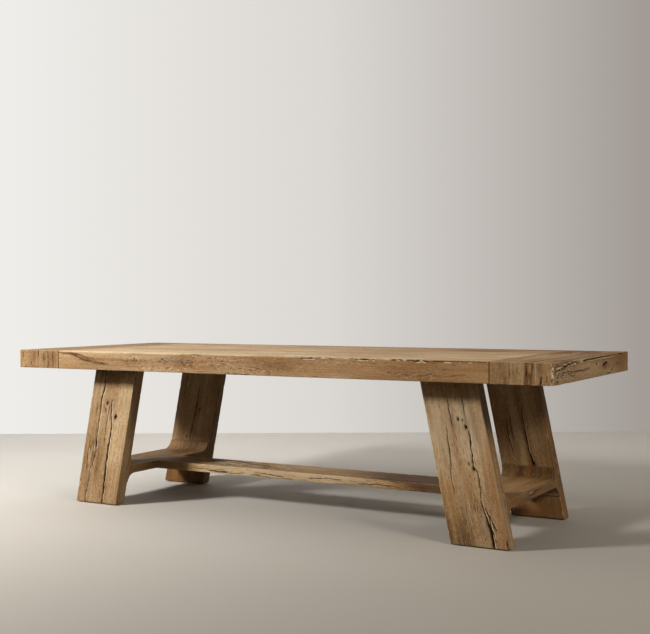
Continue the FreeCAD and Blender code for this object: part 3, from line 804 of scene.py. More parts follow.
# Marks of the planks, counted from the front: -wide is the front edge and +deep the upper face
PLANK_MARKS = {
    1: on(
        "-wide",
        Split([(33, -1095), (29, -1045), (23, -1000), (8, -975), (-1, -935), (-8, -880)], 1.5, 2, 0),
        Split([(-8, -890), (-12, -850), (-14, -805)], 1.2, 2, 0),
        Split([(36, -1055), (29, -998), (21, -945)], 1.2, 2, 0),
        Streak([(38, -1110), (30, -1040), (22, -990), (4, -950), (-6, -890), (-16, -800)], 11, 0.36),
        Streak([(40, -1060), (30, -1000), (16, -930), (10, -880)], 5, 0.25),
        Shade(0, 0, WHOLE, 4000, 0.02),
        Shade(0, 1000, 120, 500, 0.14),
        Shade(0, 800, 200, 600, 0.5, "amber"),
        Shade(-30, -950, 24, 160, 0.4, "amber"),
        Knot(12, -642, 3),
        Knot(13, -477, 2.4),
        Specks(8, -650, 24, 70, 0.5, (6, 11)),
        Specks(10, -470, 20, 50, 0.5, (6, 11)),
        Specks(4, -340, 40, 90, 0.45, (6, 11)),
        Specks(-26, -560, 16, 120, 0.45, (6, 11)),
        Specks(-28, -380, 14, 120, 0.5, (6, 11)),
        Specks(6, -140, 40, 140, 0.45, (6, 11)),
        Specks(-20, 60, 20, 160, 0.45),
        Specks(20, 560, 14, 200, 0.4),
        Specks(-22, 820, 16, 160, 0.45),
        Shade(4, -640, 22, 60, 0.1),
        Shade(0, -350, 26, 60, 0.26),
        Shade(-14, -200, 20, 90, 0.16),
        Shade(0, 150, 26, 120, 0.08),
        Shade(4, -520, 20, 80, -0.08),
        Split([(37, 262), (38, 300), (37, 345)], 2.8, 2.6, -1),
        Split([(38, 405), (39, 420), (38, 440)], 2, 2, -1),
        Split([(37, 528), (38, 560), (37, 592)], 3, 2.8, -1),
        Split([(38, 598), (39, 612), (38, 624)], 2.6, 2.6, -1),
        Split([(39, 690), (40, 725), (39, 760)], 1.8, 2, -1),
        Split([(37, 796), (38, 830), (37, 858)], 2.8, 2.6, -1),
        Split([(38, 830), (39, 960), (39, 1104)], 2.2, 2.4, -1),
        Split([(38, -316), (39, -290), (38, -260)], 2.2, 2.4, -1),
        Split([(-41, -110), (-43, -60), (-41, 0)], 3.4, 3),
    )
    + on(
        "+deep",
        Torn([(-74, 230), (-72, 520), (-75, 830)], 7, 2),
        # painted highlight: a paler strip along the front of the top
        Shade(-30, 0, 60, 4000, -0.14),
        Shade(-66, 980, 12, 160, 0.4),
    ),
    7: on(
        "+deep",
        Torn([(73, 700), (70, 900), (74, 1090)], 14, 3, (6, 30)),
        Shade(50, 860, 34, 130, 0.7),
        Shade(20, 860, 90, 260, 0.22),
        Shade(40, 560, 30, 90, 0.4),
        Shade(52, 1070, 30, 50, 0.6),
        Split([(66, 120), (62, 300), (67, 470)], 3, 3),
        Shade(60, -560, 34, 300, 0.35),
        Shade(0, 860, WHOLE, 280, 0.22),
        Shade(0, 860, WHOLE, 280, 0.6, "amber"),
    ),
    2: on("+deep", Shade(-10, -760, 26, 90, 0.3), Specks(20, 380, 40, 120, 0.7)),
    3: on(
        "+deep",
        Shade(10, 250, 20, 330, 0.25),
        Shade(0, 1080, WHOLE, 90, -0.3),
        Specks(0, -500, 50, 160, 0.6),
    ),
    4: on(
        "+deep",
        Shade(-20, -420, 16, 300, 0.25),
        Shade(30, 700, 14, 260, 0.3),
        Shade(0, 1080, WHOLE, 90, -0.25),
    ),
    5: on("+deep", Shade(0, 420, 22, 240, 0.35)),
    6: on(
        "+deep",
        Specks(10, -780, 50, 120, 0.8),
        Shade(30, 760, 50, 220, 0.5),
        Shade(-30, 790, 60, 90, 0.35),
        Shade(0, 780, 100, 180, 0.5, "amber"),
    ),
}
PLANK_TONES = (0.0, 0.05, -0.04, 0.03, -0.06, 0.05, -0.02)
MIDDLE_TONES = (0.28, 0.24, 0.28, 0.26, 0.18, 0.08, 0.0)  # how much paler midway along the top: painted light and sheen
PALE_ZONES = ((-750, 700), (820, 290))  # where the top is paler, painted light: place along it, and reach
TOP_STEP = 2.4  # across the upper face


def make_planks():
    """The top's planks, which run between the end blocks. The two outer ones have worn arrises on
    the table's edges, and the others lie close together with eased ones."""
    shoulder = box_of("right_end_stave_1")[0][0]
    for index in range(1, PLANK_COUNT + 1):
        low, high, middle = box_of(f"plank_{index}")
        size = (high[1] - low[1], high[2] - low[2], 2 * shoulder)
        front, back = index == 1, index == PLANK_COUNT
        edge = {1: "-wide", PLANK_COUNT: "+wide"}.get(index)
        # painted light: each plank's upper face is paler in these zones and midway along the top
        pale = [Shade(0, along, WHOLE, reach, -0.24) for along, reach in PALE_ZONES]
        pale.append(Shade(0, 60, WHOLE, 500, -MIDDLE_TONES[index - 1]))
        marks = PLANK_MARKS.get(index, []) + on("+deep", *pale)
        marks += stray_marks(100 + index, size, ["+deep", "-deep"], 3, 1, 3)
        if edge:
            marks += stray_marks(200 + index, size, [edge], 0 if front else 3, 0, 3)
        joints = {face: 0.4 for face in ("-wide", "+wide") if face != edge}
        board = Board(
            name=f"top_plank_{index}",
            slot="plank_oak",
            size=size,
            place=lambda local, middle=middle: local[..., ALONG_TABLE] + (0, *middle[1:]),
            seed=index,
            steps=(FINE if back else HIDDEN, TOP_STEP, FINE if front else HIDDEN, FAIR),
            marks=marks,
            long_step=5 if front else 9,
            edge_round=ARRIS if edge else EASED,
            pith=(20 * (index % 3 - 1), -150 - 15 * index),
            wear=1 if edge else 0.3,
            tone=PLANK_TONES[index - 1],
            seams={"+long": 1, "-long": 0.7} | joints,
        )
        make_board(board, f"plank_{index}")


# Marks of the staves, counted outwards: +wide is the upper face and -long the end at the front
STAVE_MARKS = {
    ("right", 1): on(
        "+wide",
        Split([(-16, -310), (-15, -230), (-10, -148)], 2.2, 2),
        Shade(-14, -230, 10, 110, 0.4),
        Shade(0, -90, WHOLE, 200, -0.26),
        Shade(0, 300, 34, 160, 0.3),
    ),
    ("right", 2): on("-long", Shade(-20, -8, 30, 9, 0.12))
    + on(
        "+wide",
        Shade(10, 380, 30, 100, 0.5),
        Shade(0, -420, 30, 120, 0.2),
        Shade(0, -40, WHOLE, 160, -0.18),
    ),
    ("right", 3): on(
        "-long",
        Shade(0, -8, 60, 8, 0.45),
        Shade(0, -10, 60, 12, 0.5, "amber"),
        Streak([(44, -10), (20, -9), (-10, -8), (-44, -10)], 4.6, 1.6),
        Streak([(44, 15), (10, 13), (-20, 9), (-44, 9)], 4, 1.1),
        Split([(30, -10), (4, -8), (-20, -10)], 2.4, 4, 0),
    )
    + on("+wide", Shade(-10, 300, 24, 200, 0.3), Shade(0, -480, 40, 90, 0.35)),
    ("right", 4): on(
        "-long",
        Shade(20, -18, 30, 12, 0.25),
        Split([(-48, -14), (-30, -14), (-10, -12)], 4.8, 6, 0),
        Torn([(-44, 29), (-10, 32), (20, 31), (44, 33)], 12, 2.5, (11, 8), 0.3),
    )
    + on(
        "+deep",
        Torn([(-44, -512), (-20, -496), (4, -505), (20, -490)], 24, 4, (16, 12), 0.4),
        Torn([(12, -510), (24, -440), (32, -370)], 24, 5, (8, 34), 0.6),
        Torn([(32, -370), (35, -246), (34, -100)], 16, 5, (7, 44), 0.55),
        Torn([(35, -100), (34, 40), (37, 203), (38, 399), (41, 523)], 9, 3, (4, 50), 0.7, 0.5),
        # painted light: the whole end face is paler, as if lit from the right
        Shade(0, 0, WHOLE, 3000, -0.3),
        Shade(30, -420, 16, 100, 0.4),
        Shade(30, 120, 10, 420, 0.4),
        Split([(2, -531), (12, -470), (18, -400), (30, -330), (36, -250)], 3.4, 5),
        Split([(24, -530), (27, -480), (28, -440)], 3, 4),
        Split([(35, -240), (34, -100), (36, 60), (38, 250), (40, 480)], 2.6, 3, -1),
        Split([(-44, -506), (-20, -514), (4, -502)], 4, 4),
        Split([(-40, -480), (-16, -488), (4, -472)], 3.4, 4),
        Split([(-6, -440), (2, -370), (0, -300)], 2, 3),
        Split([(-14, -480), (-6, -316), (1, -69)], 1.2, 2),
        Split([(1, 118), (7, 156), (13, 192)], 12, 8),
        Shade(6, 156, 12, 44, 0.45),
        Split([(-20, -330), (-18, -300), (-21, -270)], 2.4, 3),
        Specks(-10, -380, 30, 110, 0.7),
        Specks(8, -480, 40, 60, 0.7, (6, 9)),
        Specks(26, -330, 14, 120, 0.7, (5, 16)),
        Shade(0, 420, 50, 130, 0.3),
        Shade(10, 420, 50, 200, 0.5, "amber"),
    )
    + on(
        "+wide",
        Specks(0, -300, 30, 200, 0.7),
        Shade(20, -340, 22, 130, 0.35),
        Shade(10, 320, 40, 130, 0.35),
        Shade(10, 320, 60, 160, 0.5, "amber"),
        Shade(20, 0, 24, 150, 0.25),
    ),
    ("left", 1): on(
        "-long",
        Shade(0, 5, 60, 16, 0.08),
        Shade(10, 5, 20, 8, 0.14),
        Split([(44, 6), (16, 4), (-10, 7), (-44, 5)], 1.8, 2, 0),
        Split([(44, -28), (0, -26), (-44, -29)], 1.6, 2, 0),
    ),
    ("left", 2): on("-long", Split([(44, 14), (0, 15), (-44, 13)], 1.6, 2, 0)),
    ("left", 3): on("-long", Split([(44, -11), (0, -10), (-44, -12)], 1.5, 2, 0)),
}
STAVE_TONES = (-0.03, 0.03, -0.02, 0.04)
BLOCK_TONES = {"left": 0.11, "right": 0.14}  # how much darker than the planks
SEAM_DUST_AND_HIGHLIGHT = {"left": 0.35, "right": -0.7}  # between staves: dusty at the left; at the right a painted highlight, pale along the lit edges


def make_staves():
    """The end blocks, each of staves that run across the table. Only the last stave has a worn
    arris, on the table's end, and the joint with the planks is dark with dust."""
    for name, side in SIDE.items():
        for count in range(1, STAVE_COUNT + 1):
            node = f"{name}_end_stave_{count}"
            low, high, middle = box_of(node)
            size = (high[2] - low[2], high[0] - low[0], high[1] - low[1])
            seed = 20 + 10 * (side > 0) + count
            last = count == STAVE_COUNT
            inner, outer = ("-deep", "+deep") if side > 0 else ("+deep", "-deep")
            marks = STAVE_MARKS.get((name, count), [])
            marks = marks + stray_marks(300 + seed, size, ["+wide"], 2, 0, 2)
            marks += stray_marks(400 + seed, size, ["-long", "+long"], 1, 0, 1)
            seams = {inner: 0.9 if count == 1 else SEAM_DUST_AND_HIGHLIGHT[name]}
            steps = {inner: JOINT_STEP, outer: JOINT_STEP}
            if last:
                marks += stray_marks(500 + seed, size, [outer], 3, 2, 3)
                steps[outer] = FINE
            else:
                seams[outer] = SEAM_DUST_AND_HIGHLIGHT[name]
            board = Board(
                name=f"{name}_cross_stave_{count}",
                slot="stave_oak",
                size=size,
                place=lambda local, middle=middle: local[..., ACROSS_TABLE] + (middle[0], 0, middle[2]),
                seed=seed,
                steps=(FINE, steps["+deep"], FAIR, steps["-deep"]),
                marks=marks,
                long_step=6,
                end_rings=24,
                edge_round=ARRIS if last else EASED,
                pith=(25 * (count % 3 - 1), 320 - 25 * count),
                tone=STAVE_TONES[count - 1] - BLOCK_TONES[name],
                seams=seams,
            )
            make_board(board, node)


# Marks of the legs, measured up from the floor: -deep is the front face and +wide the right edge
LEG_MARKS = {
    ("left", "front"): on(
        "-deep",
        Split([(-48, 720), (-53, 620), (-53, 570), (-61, 515), (-58, 470), (-56, 443), (-57, 399)], 4.8, 7),
        Split([(-57, 430), (-56, 354), (-52, 310), (-50, 250), (-58, 190)], 4, 6),
        Split([(-66, 400), (-67, 332), (-66, 248), (-68, 153), (-70, 60), (-74, -10)], 1.6, 2),
        Split([(-77, 70), (-72, 34), (-69, -10)], 2.2, 3),
        Split([(7, 520), (11, 468), (18, 420)], 4, 5),
        Split([(16, 440), (29, 381), (28, 293), (27, 249), (33, 138), (38, 60), (40, -90)], 6, 8),
        Split([(33, 150), (42, 110), (46, 70)], 1.8, 2),
        Split([(-81, 500), (-79, 440)], 2, 2),
        Split([(-96, 330), (-98, 240), (-94, 170)], 1.8, 2),
        Knot(-21, 501, 6, 7),
        Knot(43, 436, 7.5, 9),
        Shade(-15, 120, 34, 150, 0.22),
        Shade(-95, 330, 24, 260, 0.12),
        Shade(70, 300, 30, 300, -0.14),
        Shade(-10, 420, 50, 60, -0.14),
        # painted shade: the leg's head darkens under the overhang of the top
        Shade(0, 680, 200, 50, 0.95),
    )
    # painted light: the right side face is paler, as if lit from the right
    + on("+wide", Shade(0, 260, 200, 300, -0.16))
    + on(
        "-deep",
        Shade(-40, 300, 30, 300, -0.06),
        Torn([(-124, 125), (-117, 105), (-124, 84)], 9, 3),
        Specks(-30, 470, 50, 70, 0.5, (6, 18)),
        Specks(-70, 220, 40, 160, 0.4, (5, 34)),
    ),
    ("right", "front"): on(
        "-deep",
        Split([(47, 620), (48, 569), (45, 529), (43, 505)], 1.5, 2, 0),
        Split([(47, 470), (52, 455), (50, 428), (45, 400)], 3.2, 5),
        Split([(45, 400), (46, 372), (43, 347), (40, 310)], 3.2, 5),
        Split([(38, 325), (54, 307), (56, 277), (54, 235)], 3.2, 5),
        Split([(54, 240), (50, 215), (46, 195)], 2.6, 4),
        Split([(46, 195), (52, 147), (58, 122), (59, 97), (66, 60), (65, -50)], 5.6, 8),
        Split([(56, 165), (73, 119), (80, 99), (92, 76)], 3.8, 5),
        Split([(66, 120), (68, 88), (74, 62), (76, 30)], 3, 5),
        Split([(-44, 480), (-50, 430), (-50, 391), (-56, 312)], 1.8, 2, 0),
        Split([(-62, 330), (-66, 260), (-64, 210)], 1.3, 2, 0),
        Split([(125, 40), (124, -30)], 4.4, 4),
        Knot(13, 515, 4.2, 6),
        Knot(32, 512, 3, 4),
        Knot(42, 484, 5.6, 8),
        Knot(24, 337, 3.6, 5),
        Knot(40, 318, 6, 8),
        Knot(41, 346, 3.2, 4),
        # painted light: a paler band high on the leg, where the top's shadow ends
        Shade(0, 500, WHOLE, 130, -0.42),
        Shade(0, 450, WHOLE, 200, 0.5, "amber"),
        Shade(0, 470, WHOLE, 180, -0.09),
        Shade(0, 50, WHOLE, 60, 0.12),
        Shade(0, 360, WHOLE, 130, -0.26),
        Shade(0, 40, WHOLE, 160, 0.16),
        Shade(-60, 60, 36, 90, 0.2),
        Shade(-118, 90, 7, 110, 0.35),
        Shade(-20, 480, 40, 50, 0.12),
        # a pale line down the right arris: worn wood and a painted highlight
        Shade(131, 330, 4, 260, -0.35),
        Shade(-100, 480, 24, 120, -0.12),
        # painted shade: the leg's head darkens under the overhang of the top
        Shade(0, 670, 200, 50, 0.3),
        Shade(90, 300, 16, 300, 0.16),
        Shade(110, 200, 30, 300, 0.4, "amber"),
        Specks(10, 420, 70, 120, 0.4, (5, 26)),
        Specks(20, 150, 70, 110, 0.4, (5, 30)),
    ),
    ("right", "back"): on(
        "-deep",
        Split([(24, 500), (20, 420), (20, 340), (21, 295), (26, 255)], 4.2, 6),
        Split([(18, 320), (22, 280), (31, 240)], 5.4, 7),
        Shade(12, 400, 9, 150, 0.3),
        Shade(26, 250, 14, 50, 0.35),
        Shade(-45, 420, 10, 120, 0.22),
        Split([(-40, 460), (-45, 400), (-42, 350)], 1.4, 2, 0),
        Knot(32, 246, 6, 7),
        Shade(0, 60, 120, 80, 0.15),
    )
    + on("+wide", Shade(0, 240, 200, 220, 0.45), Shade(0, 300, 200, 400, 0.6, "amber"))
    + on("-deep", Shade(0, 50, 200, 60, 0.9, "amber")),
    ("left", "back"): on(
        "-deep",
        Split([(7, 540), (9, 440), (8, 405), (4, 350), (-3, 280), (-2, 244)], 3, 4, 0),
        Knot(30, 411, 4.6, 5),
        Knot(-28, 258, 4.2, 5),
        Shade(0, 50, 200, 60, 0.9, "amber"),
        Shade(30, 400, 60, 200, 0.1),
        Shade(20, 40, 300, 70, 0.9),
        Streak([(-121, 130), (-119, 60), (-121, -10)], 6, 0.7),
        Streak([(-98, 130), (-96, 60), (-98, -10)], 6, 0.5),
    ),
}


def lifted(mark, lift):
    """The mark with its places along the board measured from the board's middle."""
    if hasattr(mark, "path"):
        return replace(mark, path=[(across, along - lift) for across, along in mark.path])
    return replace(mark, along=mark.along - lift)


def lean_of(low, high):
    """How far a leg leans along the table for each mm of its height, from the corners of its box."""
    return (high[0] - low[0] - LEG_WIDTH) / (high[2] - low[2])


def leaned(points, heights, slope):
    """The points moved sideways in proportion to the heights given, so that level ends stay level."""
    moved = points.copy()
    moved[..., 0] += slope * heights
    return moved


def make_legs():
    """The slab legs, which lean outwards to their feet. A soft dark line crosses each inner face
    where the coves of the rail end on it."""
    for name, side in SIDE.items():
        for corner, row in ROW.items():
            node = f"{name}_{corner}_leg"
            low, high, middle = box_of(node)
            size = (LEG_WIDTH, high[1] - low[1], high[2] - low[2])
            slope = -side * lean_of(low, high)
            seed = 50 + 10 * (side > 0) + (row > 0)
            marks = [lifted(mark, middle[2]) for mark in LEG_MARKS.get((name, corner), [])]
            marks += stray_marks(600 + seed, size, ["-deep", "+deep"], 1, 0, 3)
            marks += stray_marks(650 + seed, size, ["+deep"], 2, 2, 0)
            marks += stray_marks(700 + seed, size, ["-wide", "+wide"], 1, 0, 2)
            joints = [Streak([(x, level) for x in (-150, 0, 150)], 3, 0.2) for level in COVE_JOINTS]
            inner = "+deep" if row < 0 else "-deep"
            marks += [lifted(mark, middle[2]) for mark in on(inner, *joints)]
            front_step, back_step = LEG_STEPS[corner]

            def placed(local, middle=middle, slope=slope):
                return leaned(local, local[..., 2], slope) + middle

            board = Board(
                name=f"{name}_{corner}_slab_leg",
                slot="leg_oak",
                size=size,
                place=placed,
                seed=seed,
                steps=(FINE, back_step, FINE, front_step),
                marks=marks,
                long_step=6.5,
                pith=(-15, row * -150),
            )
            make_board(board, node)


# Marks of the rails: +wide is the upper face and +deep the right one
RAIL_MARKS = {
    # painted shade: the right rail's upper face darkens in its back cove
    "right": on("+wide", Shade(0, 305, WHOLE, 40, 0.4))
    + on("+deep", Shade(0, 60, WHOLE, 400, 0.26), Shade(0, 250, WHOLE, 80, 0.14)),
    "left": on("+wide", Shade(0, 20, WHOLE, 230, 0.25)),
}


def flared(local, start, half):
    """A rail's upper and lower flats moved apart where it meets the legs, and the points between
    them in proportion. Rows past the start of the cove go round its quarter turn, by the radius
    times (sin, 1 - cos) of the angle turned, and then up its short wall."""
    past = np.maximum(np.abs(local[..., 2]) - start, 0)
    turn = np.clip(past / (COVE_RADIUS + COVE_LAND + TOUCH), 0, 1)
    angle = np.clip(turn / TURN_SHARE, 0, 1) * math.pi / 2
    wall = np.clip((turn - TURN_SHARE) / (1 - TURN_SHARE), 0, 1)
    reach = COVE_RADIUS * np.sin(angle) + (COVE_LAND + TOUCH) * wall
    rise = COVE_RADIUS * (1 - np.cos(angle)) + COVE_WALL * np.minimum(2 * wall, 1)
    shaped = local.copy()
    shaped[..., 2] = np.where(past > 0, np.sign(local[..., 2]) * (start + reach), local[..., 2])
    shaped[..., 0] += np.clip(local[..., 0] / (half - ARRIS), -1, 1) * rise
    return shaped


def make_rails():
    """The low rails: each is a board across the table between two legs, and leans as they do."""
    for name, side in SIDE.items():
        leg_low, leg_high, _ = box_of(f"{name}_back_leg")
        inside = leg_low[1]
        low, high, middle = box_of(f"{name}_rail")
        thickness = high[2] - low[2] - 2 * (COVE_RADIUS + COVE_WALL)
        size = (thickness, LEG_WIDTH, 2 * (inside + TOUCH))
        start = inside - COVE_LAND - COVE_RADIUS
        seed = 80 + (side > 0)

        def placed(local, middle=middle, slope=-side * lean_of(leg_low, leg_high)):
            return leaned(local[..., ACROSS_TABLE] + middle, local[..., 0], slope)

        faces = ["+wide", "-wide", "+deep", "-deep"]
        board = Board(
            name=f"{name}_coved_rail",
            slot="rail_oak",
            size=size,
            place=placed,
            seed=seed,
            steps=(2.6, FINE, 3.4, FINE),
            marks=RAIL_MARKS[name] + stray_marks(800 + seed, size, faces, 2, 0, 3),
            long_step=3.6,
            pith=(-150, 60),
            wear=0.6,
            shape=lambda local, start=start, half=thickness / 2: flared(local, start, half),
        )
        make_board(board, f"{name}_rail")


# Marks of the stretcher: -wide is the front edge and +deep the upper face
STRETCHER_MARKS = (
    on(
        "-wide",
        Torn([(-2, -640), (-6, -540), (-12, -420)], 10, 3, (5, 50), 0.6, 0.5),
        Torn([(-10, -440), (-13, -330), (-12, -220)], 8, 3, (5, 40), 0.5, 0.7),
        Torn([(-15, -240), (-17, -60), (-15, 320)], 7, 3, (4, 50), 0.5, 0.4),
        Split([(4, -260), (-3, -160), (-10, -90)], 1.8, 2),
        Split([(-4, 40), (4, 140), (2, 220)], 1.6, 2),
        Split([(-8, 300), (-4, 420), (-9, 520)], 1.8, 2),
        Shade(0, -380, 24, 300, -0.3),
        # painted light: the front edge is paler along its middle, a pool of light
        Shade(0, 40, 60, 480, -0.55),
        Shade(6, -130, 14, 160, -0.12),
        # painted shade: the front edge darkens at the right end
        Shade(0, 680, 60, 160, 1.0),
    )
    + on(
        "+deep",
        Split([(-70, -640), (-64, -420), (-72, -180)], 3, 3),
        Split([(-20, -560), (-12, -420), (-22, -300)], 3, 3),
        Shade(-60, -700, 18, 120, 0.35),
        Shade(20, -570, 60, 60, 0.35),
        Shade(10, -300, 40, 50, 0.45),
        Shade(-70, -200, 14, 200, 0.2),
        # painted light: the upper face is paler over its left half
        Shade(0, -160, 200, 420, -0.35),
        # painted shade: the upper face darkens at the right end
        Shade(0, 620, 200, 240, 1.3),
        Shade(0, 100, 20, 200, 0.2),
        Specks(-10, -400, 90, 300, 0.8, (18, 50)),
    )
    + on("-wide", Specks(4, -400, 20, 300, 0.4, (5, 30)), Specks(0, 200, 20, 260, 0.3, (5, 30)))
)
END_SHARE = 0.97  # of the way from the stretcher's middle to the rail, where its ends begin to lean


def make_stretcher():
    """The long stretcher, whose ends lean with the rails. A rail's inner face is in line with the
    inner edges of the legs, which is a leg's width in from the foot's outer corner, and further in
    with its height by the lean."""
    low, high, middle = box_of("long_stretcher")
    leg_low, leg_high, _ = box_of("right_front_leg")
    lean = lean_of(leg_low, leg_high)
    rail_inner = leg_high[0] - LEG_WIDTH - lean * (middle[2] - leg_low[2])
    size = (high[1] - low[1], high[2] - low[2], 2 * (rail_inner + TOUCH))

    def placed(local):
        end = np.sign(local[..., 2]) * (np.abs(local[..., 2]) > END_SHARE * rail_inner)
        return leaned(local[..., ALONG_TABLE] + middle, local[..., 1] * end, -lean)

    board = Board(
        name="flat_stretcher",
        slot="stretcher_oak",
        size=size,
        place=placed,
        seed=90,
        steps=(FINE, 3, FINE, FAIR),
        marks=STRETCHER_MARKS + stray_marks(900, size, ["+deep", "+wide", "-deep"], 3, 1, 3),
        long_step=6.5,
        pith=(40, -160),
    )
    make_board(board, "long_stretcher")


def finish_hardware():
    """Gives each CAD node that still shows the finish of its slot."""
    slots = {part["node"]: part["material_slot"] for part in frame["record"]["subparts"]}
    for name, node in frame["nodes"].items():
        if not node.hide_render:
            node.data.materials.clear()
            node.data.materials.append(FINISHES[slots[name]])


# Stage, in metres

CAMERA_PLACE = (2.66615, -4.48366, 0.98876)
CAMERA_TURN, CAMERA_DOWN, CAMERA_ROLL = 0.52349, 0.01286, -0.00373
LENS_MM = 60.43
SENSOR_MM = 36
FLOOR_REACH = 30
FLOOR_DIMS = (0.49, -0.87, 0)  # the way the floor's painted falloff of light grows dim
FLOOR_SPAN = 3.0  # how far from the table's middle its shades reach, both ways
# painted light: the floor's colours run from lit at the far left to dim at the right
FLOOR_SHADES = {0.0: "#FDFBF8", 0.2: "#F6F3EE", 0.5: "#C8C4BD", 0.75: "#ADA8A1", 1.0: "#949089"}
FLOOR_BOUNCE = "#5C5850"  # the colour of the light that it throws back
FLOOR_FADES = (4.1, 6.4)  # from the table's middle
WALL_AWAY = 8.3  # from the camera, straight ahead of it
WALL_REACH, WALL_HEIGHT = 20, 12
WALL_SPAN = 2.4  # how far from the middle of the picture its shades reach, both ways
# painted light: the wall's glow runs from bright at the left to dim at the right
WALL_SHADES = {0.0: "#EFEDE9", 0.5: "#DBD7D2", 1.0: "#A39C96"}
DISTANCE = "#D9D6D1"  # pale grey of the studio beyond the floor


def make_camera():
    """The camera: turned about the upright, tipped down a little and rolled a little."""
    lens = bpy.data.cameras.new("camera")
    lens.lens = LENS_MM
    lens.sensor_width = SENSOR_MM
    camera = bpy.data.objects.new("camera", lens)
    camera.location = CAMERA_PLACE
    turned = (
        Matrix.Rotation(CAMERA_TURN, 3, "Z")
        @ Matrix.Rotation(math.pi / 2 - CAMERA_DOWN, 3, "X")
        @ Matrix.Rotation(CAMERA_ROLL, 3, "Z")
    )
    camera.rotation_euler = turned.to_euler()
    bpy.context.scene.collection.objects.link(camera)
    bpy.context.scene.camera = camera


def flat_piece(name, corners, material):
    """A flat piece of the stage, from its corners."""
    mesh = bpy.data.meshes.new(name)
    mesh.from_pydata(corners, [], [tuple(range(len(corners)))])
    mesh.materials.append(material)
    piece = bpy.data.objects.new(name, mesh)
    bpy.context.scene.collection.objects.link(piece)


def seen_directly(tree, *more):
    """1 where the ray comes from the camera or off a glossy surface, or is of another kind given,
    and 0 for the light that is thrown back."""
    rays = add(tree, "LightPath").outputs
    seen = rays["Is Camera Ray"]
    for kind in ("Is Glossy Ray", *more):
        seen = add(tree, "Math", {0: seen, 1: rays[kind]}, operation="MAXIMUM").outputs[0]
    return seen


def show(tree, surface):
    """Gives the material that surface in place of its plain shader."""
    output = next(node for node in tree.nodes if node.type == "OUTPUT_MATERIAL")
    tree.links.new(surface, output.inputs["Surface"])


def make_floor():
    """A pale floor with a painted falloff of light, from light at the far left to dim at the right.
    It throws back less light than it shows, and well away from the table it fades into the studio's
    pale distance."""
    material, tree, shader = new_finish("pale_floor")
    shader.inputs["Roughness"].default_value = 0.7
    shader.inputs["Specular IOR Level"].default_value = 0.2
    place = add(tree, "TexCoord").outputs["Object"]
    across = add(tree, "VectorMath", {0: place, 1: FLOOR_DIMS}, operation="DOT_PRODUCT")
    sockets = {0: across.outputs["Value"], 1: -FLOOR_SPAN, 2: FLOOR_SPAN}
    ramp = add(tree, "ValToRGB", {0: add(tree, "MapRange", sockets).outputs[0]})
    set_stops(ramp, FLOOR_SHADES)
    seen = seen_directly(tree)
    sockets = {"Fac": seen, "Color1": linear(FLOOR_BOUNCE), "Color2": ramp.outputs[0]}
    tree.links.new(add(tree, "MixRGB", sockets).outputs[0], shader.inputs["Base Color"])
    away = add(tree, "VectorMath", {0: place}, operation="LENGTH").outputs["Value"]
    span = {0: away, 1: FLOOR_FADES[0], 2: FLOOR_FADES[1]}
    far = add(tree, "MapRange", span, interpolation_type="SMOOTHSTEP").outputs[0]
    share = add(tree, "Math", {0: far, 1: seen}, operation="MULTIPLY").outputs[0]
    glow = add(tree, "Emission", {"Color": linear(DISTANCE), "Strength": 1.0}).outputs[0]
    show(tree, add(tree, "MixShader", {0: share, 1: shader.outputs[0], 2: glow}).outputs[0])
    r = FLOOR_REACH
    flat_piece("floor", [(-r, -r, 0), (r, -r, 0), (r, r, 0), (-r, r, 0)], material)


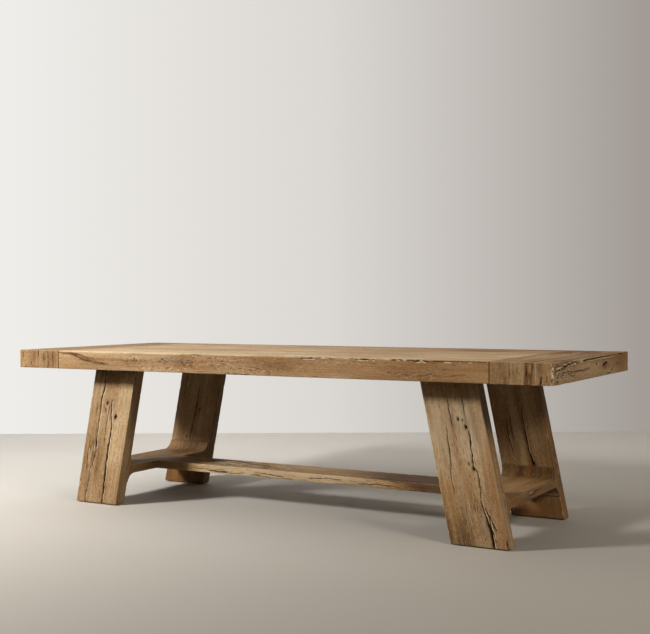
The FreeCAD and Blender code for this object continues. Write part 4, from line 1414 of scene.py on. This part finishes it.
def make_wall():
    """A pale wall behind the table, glowing with a painted falloff of light from bright at the left
    to dim at the right. It lets everything through from behind, so that it hides nothing in other
    views."""
    ahead = np.array([-math.sin(CAMERA_TURN), math.cos(CAMERA_TURN), 0])
    right = np.array([math.cos(CAMERA_TURN), math.sin(CAMERA_TURN), 0])
    foot = np.array([*CAMERA_PLACE[:2], 0]) + WALL_AWAY * ahead
    material, tree, shader = new_finish("pale_plaster_wall")
    shader.inputs["Base Color"].default_value = linear("#DCD8D2")
    shader.inputs["Roughness"].default_value = 0.9
    place = add(tree, "TexCoord").outputs["Object"]
    across = add(tree, "VectorMath", {0: place, 1: tuple(right)}, operation="DOT_PRODUCT")
    middle = float(foot @ right)
    sockets = {0: across.outputs["Value"], 1: middle - WALL_SPAN, 2: middle + WALL_SPAN}
    ramp = add(tree, "ValToRGB", {0: add(tree, "MapRange", sockets).outputs[0]})
    set_stops(ramp, WALL_SHADES)
    glow = add(tree, "Emission", {"Color": ramp.outputs[0], "Strength": 1.0}).outputs[0]
    sockets = {0: seen_directly(tree), 1: shader.outputs[0], 2: glow}
    lit = add(tree, "MixShader", sockets).outputs[0]
    behind = add(tree, "NewGeometry").outputs["Backfacing"]
    clear = add(tree, "BsdfTransparent").outputs[0]
    show(tree, add(tree, "MixShader", {0: behind, 1: lit, 2: clear}).outputs[0])
    up, reach = np.array([0, 0, WALL_HEIGHT]), WALL_REACH * right
    corners = [foot - reach, foot + reach, foot + reach + up, foot - reach + up]
    flat_piece("wall", [tuple(c) for c in corners], material)


# The lamps: place, target, width and height, power in watts, and colour
LAMPS = {
    "window_softbox": ((-2.6, -3.2, 2.3), (0, -0.3, 0.5), (0.6, 0.6), 188, "#FFFCF7"),
    "ceiling_softbox": ((-1.9, -0.5, 3.3), (-0.6, 0, 0), (2.6, 2.2), 36, "#FFFDFA"),
    "side_softbox": ((4.6, -2.0, 3.0), (0.8, -0.2, 0.5), (1.2, 1.0), 85, "#FFF3E2"),
    "back_softbox": ((-2.4, 3.4, 2.8), (0, 0, 0.4), (2.4, 2.0), 25, "#FFFFFF"),
}


def make_light():
    """Softboxes, each aimed at its target, and a faint warm fill from all around. What the camera
    and glossy or clear surfaces see past them is the studio's pale distance."""
    for name, (place, target, extent, power, colour) in LAMPS.items():
        lamp = bpy.data.lights.new(name, "AREA")
        lamp.shape = "RECTANGLE"
        lamp.size, lamp.size_y = extent
        lamp.energy = power
        lamp.color = linear(colour)[:3]
        piece = bpy.data.objects.new(name, lamp)
        piece.location = place
        aim = Vector(target) - Vector(place)
        piece.rotation_euler = aim.to_track_quat("-Z", "Y").to_euler()
        bpy.context.scene.collection.objects.link(piece)
    world = bpy.data.worlds.new("studio")
    world.use_nodes = True
    bpy.context.scene.world = world
    tree = world.node_tree
    tree.nodes.clear()
    fill = add(tree, "Background", {"Color": linear("#F2E9DC"), "Strength": 0.08}).outputs[0]
    pale = add(tree, "Background", {"Color": linear(DISTANCE), "Strength": 1.0}).outputs[0]
    seen = seen_directly(tree, "Is Transmission Ray")
    mixed = add(tree, "MixShader", {0: seen, 1: fill, 2: pale}).outputs[0]
    add(tree, "OutputWorld", {"Surface": mixed})
    bpy.context.scene.view_settings.view_transform = "Standard"


make_camera()
make_floor()
make_wall()
make_light()
make_planks()
make_staves()
make_legs()
make_rails()
make_stretcher()
finish_hardware()
